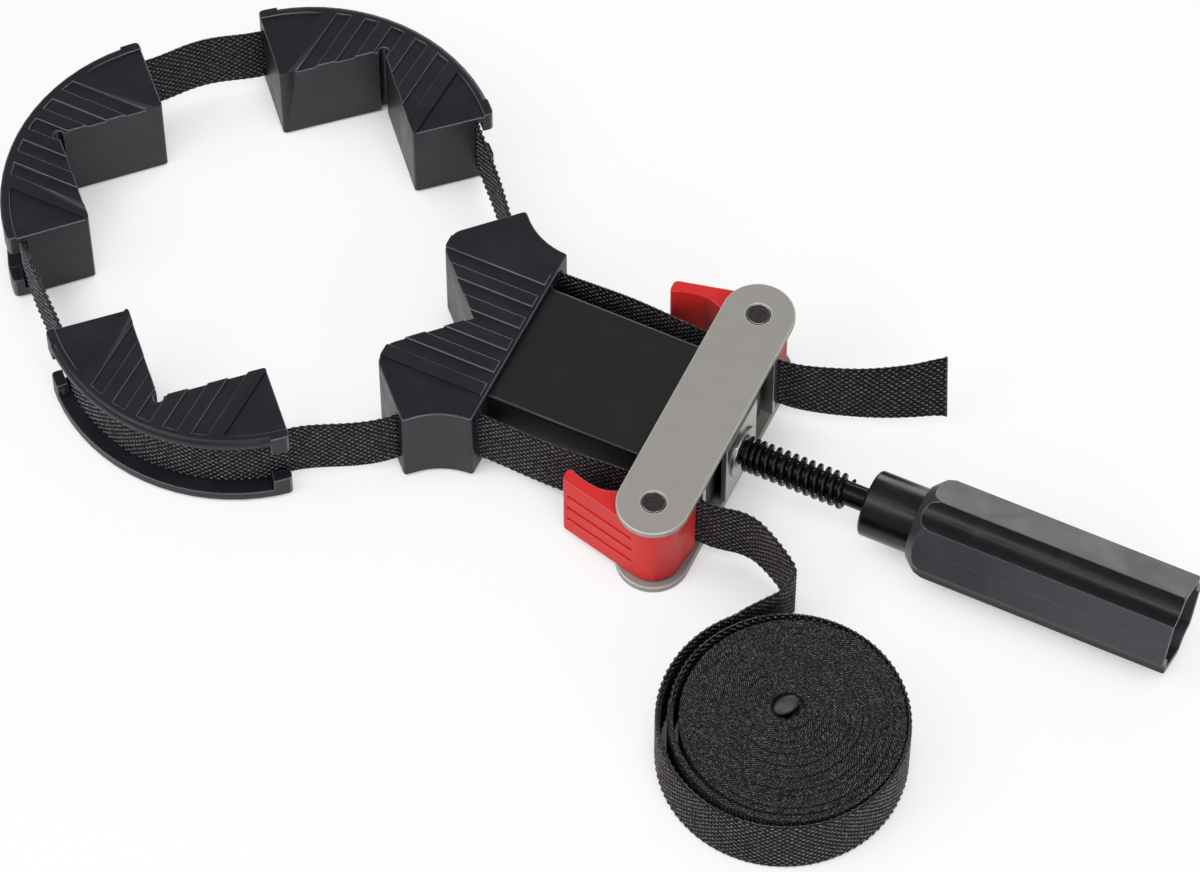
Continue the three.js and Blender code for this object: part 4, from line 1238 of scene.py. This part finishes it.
@dataclass
class Roll:
    """The rolled part of the strap: loose outer loops in full, packed loops inside, a fused core end."""

    palette: Palette
    middle_x: float = 68.0
    middle_y: float = -88.9
    height: float = 12.5
    start_angle: float = 142.0
    loops: float = 19.0
    loose_loops: float = 2.0
    full_loops: float = 1.15
    steps_per_loop: int = 720
    # Radius and shift of the loops at the outside, at the pack's edge and at the core
    radii: tuple[float, float, float] = (40.3, 34.6, 2.4)
    shifts_x: tuple[float, float, float] = (0.0, 1.8, -1.2)
    shifts_y: tuple[float, float, float] = (0.0, 1.5, 4.4)
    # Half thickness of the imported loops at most, then how loosely they lie; the beat is in radians per turn
    thickest_half: float = 0.92
    least_slack: float = 0.01
    slack_swing: float = 0.05
    slack_beat: float = 5.3
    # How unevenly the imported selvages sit; the beats are in radians per turn, the drift is in radians
    selvage_wave: float = 0.28
    wave_beat: float = 2.9
    wave_drift: float = 1.7
    drift_beat: float = 0.61
    # How deep the selvages sink round the core, from which turn on, and over how many turns
    core_depth: float = 3.6
    core_from: float = 16.9
    core_over: float = 2.0
    core_place: tuple[float, float, float] = (66.5, -84.2, 24.4)
    core_size: tuple[float, float, float] = (4.3, 2.7, 1.5)
    core_turn: tuple[float, float, float] = (14.0, -8.0, 54.0)

    def points(self, turns: np.ndarray) -> np.ndarray:
        """Gives points of the roll's middle line.

        Args:
            turns: How many turns they lie from where the lead joins the roll.

        Returns:
            Points in millimetres.
        """
        marks = (0.0, self.loose_loops, self.loops)
        radius = np.interp(turns, marks, self.radii)
        angle = math.radians(self.start_angle) + 2 * math.pi * turns
        x = self.middle_x + np.interp(turns, marks, self.shifts_x) + radius * np.cos(angle)
        y = self.middle_y + np.interp(turns, marks, self.shifts_y) + radius * np.sin(angle)
        return np.column_stack([x, y, np.full(len(x), self.height)])

    def route(self, first: float, last: float, start_mm: float) -> Route:
        """The roll's middle line between two counts of turns."""
        turns = np.linspace(first, last, int(self.steps_per_loop * (last - first)) + 1)
        return Route.flat(self.points(turns), start_mm)

    def pack_turns(self, route: Route) -> np.ndarray:
        """The count of turns at each point of the pack's middle line."""
        return np.linspace(self.full_loops, self.loops, len(route.points))

    def packed_half(self, route: Route, at: np.ndarray) -> np.ndarray:
        """Half of the thickness that lets the pack's loops touch their neighbours.

        Args:
            route: The pack's middle line.
            at: Distances along it.

        Returns:
            Half thicknesses in metres.
        """
        turns = self.pack_turns(route)
        here = self.points(turns)
        outward = np.linalg.norm(here - self.points(turns - 1), axis=1)
        inward = np.linalg.norm(here - self.points(np.minimum(turns + 1, self.loops)), axis=1)
        gap = np.where(turns <= self.loops - 1, np.minimum(outward, inward), outward)
        slack = self.least_slack + self.slack_swing * np.sin(self.slack_beat * turns) ** 2
        return np.interp(at, route.lengths, np.minimum(self.thickest_half, gap / 2 - slack) * MM)

    def packed_drop(self, route: Route, at: np.ndarray) -> np.ndarray:
        """How far the pack's selvages sit below the roll's face: unevenly, and deeper round the core.

        Args:
            route: The pack's middle line.
            at: Distances along it.

        Returns:
            Drops in metres.
        """
        turns = self.pack_turns(route)
        drift = self.wave_drift * np.sin(self.drift_beat * turns)
        uneven = self.selvage_wave * (1 + np.sin(self.wave_beat * turns + drift))
        core = self.core_depth * np.clip((turns - self.core_from) / self.core_over, 0, 1)
        return np.interp(at, route.lengths, (uneven + core) * MM)

    def pack(self, route: Route) -> WovenPiece:
        """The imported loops: plain faces and beaded selvages that show as rings from above.

        Args:
            route: The pack's middle line.

        Returns:
            The piece, not built yet.
        """
        return WovenPiece(
            "webbing_roll_pack",
            route,
            Weave(float_length=1.3 * MM, step=0.325 * MM, bead_swing=0.5 * MM),
            outer_yarns=0,
            inner_yarns=0,
            edge_rows=5,
            edge_spread=1.38,
            edge_glint=0.7,
            thickness_at=lambda at: self.packed_half(route, at),
            drop_at=lambda at: self.packed_drop(route, at),
        )

    def core_end(self) -> None:
        """The strap's inner end, fused to a bead in the middle of the roll."""
        deselect()
        place = tuple(c * MM for c in self.core_place)
        bpy.ops.mesh.primitive_uv_sphere_add(segments=32, ring_count=16, radius=1.0, location=place)
        core = bpy.context.object
        core.name = "fused_core_end"
        core.scale = tuple(c * MM for c in self.core_size)
        core.rotation_euler = tuple(math.radians(c) for c in self.core_turn)
        settle(core)
        bpy.ops.object.shade_smooth()
        self.palette.dress(core, FinishKind.FUSED_END)
        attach(core, "frame")
        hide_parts("strap_roll")

    def build(self, lead_mm: float) -> None:
        """Makes the roll.

        Args:
            lead_mm: Length of the stretch before it, for the weave's count.
        """
        outer = self.route(0.0, self.full_loops, lead_mm)
        packed = self.route(self.full_loops, self.loops, lead_mm + outer.length / MM)
        for piece in (WovenPiece("webbing_roll_rim", outer), self.pack(packed)):
            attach(lay(self.palette, piece, "strap_roll"), "frame")
        self.core_end()


@dataclass
class Strap:
    """The whole band: free tail, gripped stretches, runs, guides, spans, wraps, lead and roll."""

    palette: Palette
    grip_line: float = 29.8
    plate_edge: float = 12.1
    head_back: float = -66.5
    guide_line: float = 30.6
    guide_radius: float = 30.0
    guide_turn: float = 51.0
    guide_steps: int = 60
    # How far the cut end lies from the plate, then the tail's way there in shares of that
    tail_reach: tuple[float, float] = (50.6, 21.6)
    tail_shares: tuple[tuple[float, float], ...] = (
        (0, 0), (0.12, 0.03), (0.28, 0.13), (0.5, 0.32), (0.66, 0.5), (0.82, 0.72), (0.93, 0.9), (1, 1)
    )
    tail_lean: float = 17.0
    # Along and across the line from the frame to the roll, in shares of its length
    lead_shares: tuple[tuple[float, float], ...] = (
        (0, 0), (0.054, 0.076), (0.098, 0.176), (0.136, 0.28), (0.203, 0.379), (0.303, 0.455),
        (0.418, 0.519), (0.533, 0.57), (0.62, 0.599), (0.674, 0.593), (0.75, 0.539), (0.827, 0.453),
        (0.873, 0.333), (0.933, 0.174), (0.972, 0.091), (0.986, 0.046), (1, 0),
    )
    lead_drop_share: float = 0.55
    jaw_draw: float = 7.5
    jaws: dict[str, JawPlace] = field(
        default_factory=lambda: {
            "back": JawPlace(-157.926, 84.236, -92.8),
            "far": JawPlace(-239.658, 7.096, -0.4),
            "front": JawPlace(-161.223, -71.062, 88.4),
        }
    )

    def guide_arc(self, side: int) -> np.ndarray:
        """Gives the strap's bend in the head's guide, from the head's rear face outwards.

        Args:
            side: 1 for the left guide, -1 for the right one.

        Returns:
            Points in millimetres.
        """
        angle = np.linspace(0, math.radians(self.guide_turn), self.guide_steps + 1)
        x = self.head_back - self.guide_radius * np.sin(angle)
        return level(x, side * (self.guide_line + self.guide_radius * (1 - np.cos(angle))))

    def guide_end(self, side: int) -> StrapEnd:
        """Where the strap leaves the guide, and its heading there."""
        x, y, _ = self.guide_arc(side)[-1]
        return StrapEnd(x, y, side * (math.pi - math.radians(self.guide_turn)))

    def tail_route(self) -> Route:
        """The free end, which sags outwards and leans over towards its cut end.

        Returns:
            The tail's middle line.
        """
        start = np.array((self.plate_edge, self.grip_line))
        plan = curve_through([start + np.array(self.tail_reach) * share for share in self.tail_shares])
        points = level(*plan.T)
        tangents = unit(np.gradient(points, axis=0))
        lean = np.radians(self.tail_lean) * np.linspace(0, 1, len(points)) ** 1.5
        side = np.column_stack([-tangents[:, 1], tangents[:, 0], np.zeros(len(points))])
        ups = side * np.sin(lean)[:, None]
        ups[:, 2] = np.cos(lean)
        return Route(points * MM, ups)

    def lead_route(self, roll: Roll) -> Route:
        """The twisted way from the frame to the roll, which drops to the bench.

        Args:
            roll: The roll that it leads to.

        Returns:
            The lead's middle line.
        """
        start = np.array((self.plate_edge, -self.grip_line))
        along = roll.points(np.zeros(1))[0, :2] - start
        across = np.array((-along[1], along[0]))
        plan = curve_through([start + a * along + b * across for a, b in self.lead_shares])
        share = np.minimum(1.0, np.linspace(0, 1, len(plan)) / self.lead_drop_share)
        high = AXIS_HEIGHT / MM
        height = high + (roll.height - high) * share**2 * (3 - 2 * share)
        return Route.flat(np.column_stack([plan, height]))

    def stretch(self, name: str, route: Route) -> bpy.types.Object:
        """Lays the stretch webbing_name, which stands for the CAD node strap_name, and returns its piece."""
        return lay(self.palette, WovenPiece(f"webbing_{name}", route), f"strap_{name}")

    def held(self) -> None:
        """The stretches that the frame grips, their runs to the head, and the bends in its guides."""
        edge = np.array((-self.plate_edge, self.plate_edge))
        for side, name in SIDES:
            line = side * self.grip_line
            gripped = Route.flat(level(edge, np.full(2, line)))
            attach(self.stretch(f"gripped_{name}", gripped), "frame")
            start = StrapEnd(-self.plate_edge, line, math.pi)
            stop = StrapEnd(self.head_back, side * self.guide_line, 0.0)
            run = Route.flat(start.span_to(stop, -side))
            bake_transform(self.stretch(f"run_{name}", run))
            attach(self.stretch(f"guided_{name}", Route.flat(self.guide_arc(side))), "pusher")

    def spans(self) -> None:
        """The four stretches between the head and the jaws."""
        back, far, front = (self.jaws[n] for n in ("back", "far", "front"))
        for name, start, stop, bow, bodies in (
            ("back", self.guide_end(1), back.end(1), -0.3, ("pusher", "jaw_back")),
            ("far_back", back.end(-1), far.end(1), -2.2, ("jaw_back", "jaw_far")),
            ("far_front", far.end(-1), front.end(1), -0.3, ("jaw_far", "")),
            ("front", front.end(-1), self.guide_end(-1), -0.3, ("jaw_front", "pusher")),
        ):
            route = Route.flat(start.span_to(stop, bow))
            piece = self.stretch(f"span_{name}", route)
            if bodies[1]:
                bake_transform(piece)
                continue
            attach(piece, bodies[0])
            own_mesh(piece)

    def cut_end(self, route: Route) -> None:
        """The free end's last millimetre, where the cut yarns are melted together.

        Args:
            route: The tail's middle line.
        """
        last = Route(route.points[-4:], route.ups[-4:])
        melted = Weave(half_thickness=0.8 * MM, crown_swing=0.22 * MM, valley_depth=0.12 * MM)
        sealed = WovenPiece("fused_tail_end", last, melted, outer_yarns=12, inner_yarns=12).build()
        self.palette.dress(sealed, FinishKind.FUSED_END)
        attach(sealed, "frame")
        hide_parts("strap_tail")

    def build(self) -> None:
        """Makes every stretch of the strap and puts each on the body that holds it; the runs and the spans
        held by two bodies ride on none.
        """
        self.held()
        for name, jaw in self.jaws.items():
            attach(self.stretch(f"wrap_{name}", Route.flat(jaw.arc())), f"jaw_{name}")
        self.spans()
        tail = self.tail_route()
        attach(self.stretch("tail", tail), "frame")
        self.cut_end(tail)
        roll = Roll(self.palette)
        lead = self.lead_route(roll)
        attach(self.stretch("lead", lead), "frame")
        roll.build(lead.length / MM)


# Floor, lights and camera


@dataclass(frozen=True)
class Studio:
    """A pale floor, soft lamps and the camera at the photograph's viewing angle."""

    azimuth: float = 25.397
    elevation: float = 56.80
    distance: float = 1.9
    target: tuple[float, float, float] = (-35.91 * MM, -3.98 * MM, 0.0)
    lens: float = 174.463
    floor_size: float = 8.0
    floor_drop: float = 0.02 * MM
    shadow_reach: float = 30 * MM
    # Name, place and size in metres, power in watts
    softboxes: tuple[tuple[str, tuple[float, float, float], float, float], ...] = (
        ("key_softbox", (-0.9, -0.8, 1.5), 1.1, 17.0),
        ("side_softbox", (1.2, -1.1, 0.9), 0.8, 14.0),
        ("top_softbox", (0.3, -0.3, 2.0), 0.9, 7.0),
        ("back_softbox", (-0.35, 1.45, 0.32), 0.9, 8.0),
    )
    even_light: float = 0.28

    def camera(self) -> None:
        """Places the camera and makes it the scene's."""
        cosine, sine = math.cos(math.radians(self.azimuth)), math.sin(math.radians(self.azimuth))
        rise = math.radians(self.elevation)
        back = Vector((sine * math.cos(rise), -cosine * math.cos(rise), math.sin(rise)))
        right = Vector((cosine, sine, 0.0))
        turn = Matrix((right, back.cross(right), back)).transposed()
        deselect()
        bpy.ops.object.camera_add()
        camera = bpy.context.object
        camera.name = "photo_camera"
        camera.matrix_world = Matrix.Translation(Vector(self.target) + back * self.distance) @ turn.to_4x4()
        camera.data.sensor_width = 36.0
        camera.data.sensor_fit = "HORIZONTAL"
        camera.data.lens = self.lens
        camera.data.clip_start = 0.05
        camera.data.clip_end = 30.0
        bpy.context.scene.camera = camera

    def floor_material(self) -> bpy.types.Material:
        """Pale matt paper that the camera sees as white, apart from the shadow close to the clamp.

        Returns:
            The material.
        """
        made, tree = new_material("floor_paper")
        paper = add_node(
            tree, "ShaderNodeBsdfPrincipled", {"Base Color": linear("#f7f7f7"), "Roughness": 0.9}
        )
        glow = add_node(tree, "ShaderNodeEmission", {"Color": (1, 1, 1, 1), "Strength": 1.0})
        path = add_node(tree, "ShaderNodeLightPath")
        seen = add_node(
            tree,
            "ShaderNodeMath",
            {"operation": "MAXIMUM"},
            {0: path.outputs["Is Camera Ray"], 1: path.outputs["Is Glossy Ray"]},
        )
        open_sky = add_node(tree, "ShaderNodeAmbientOcclusion", {"samples": 8, "Distance": self.shadow_reach})
        clear = add_node(
            tree,
            "ShaderNodeMapRange",
            {"From Min": 0.1, "From Max": 0.7, "To Min": 0.0, "To Max": 0.82},
            {"Value": open_sky.outputs["AO"]},
        )
        share = add_node(
            tree,
            "ShaderNodeMath",
            {"operation": "MULTIPLY"},
            {0: seen.outputs["Value"], 1: clear.outputs["Result"]},
        )
        both = add_node(
            tree,
            "ShaderNodeMixShader",
            None,
            {0: share.outputs["Value"], 1: paper.outputs["BSDF"], 2: glow.outputs["Emission"]},
        )
        add_node(tree, "ShaderNodeOutputMaterial", None, {"Surface": both.outputs["Shader"]})
        return made

    def floor(self) -> None:
        """Lays a plain pale floor just under the clamp."""
        deselect()
        bpy.ops.mesh.primitive_plane_add(size=self.floor_size, location=(0, 0, -self.floor_drop))
        floor = bpy.context.object
        floor.name = "bench_floor"
        settle(floor)
        floor.data.materials.append(self.floor_material())

    def lamps(self) -> None:
        """Hangs four soft lamps and sets the world's even light."""
        for name, place, size, power in self.softboxes:
            deselect()
            bpy.ops.object.light_add(type="AREA", location=place)
            lamp = bpy.context.object
            lamp.name = name
            lamp.data.shape = "SQUARE"
            lamp.data.size = size
            lamp.data.energy = power
            aim = Vector(self.target) - Vector(place)
            lamp.rotation_euler = aim.to_track_quat("-Z", "Y").to_euler()
        world = bpy.data.worlds.new("studio_world")
        bpy.context.scene.world = world
        world.use_nodes = True
        tree = world.node_tree
        tree.nodes.clear()
        even = add_node(tree, "ShaderNodeBackground", {"Color": (1, 1, 1, 1), "Strength": self.even_light})
        add_node(tree, "ShaderNodeOutputWorld", None, {"Surface": even.outputs["Background"]})
        bpy.context.scene.view_settings.view_transform = "Standard"

    def build(self) -> None:
        """Sets up floor, lamps and camera."""
        self.camera()
        self.floor()
        self.lamps()


def main() -> None:
    """Builds the dressed clamp and its studio."""
    logging.basicConfig(level=logging.INFO, format="%(name)s: %(message)s")
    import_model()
    deselect()
    Studio().build()
    palette = Palette()
    HardPieces(palette).build()
    Details(palette).build()
    Strap(palette).build()
    bpy.context.view_layer.update()


if __name__ == "__main__":
    main()
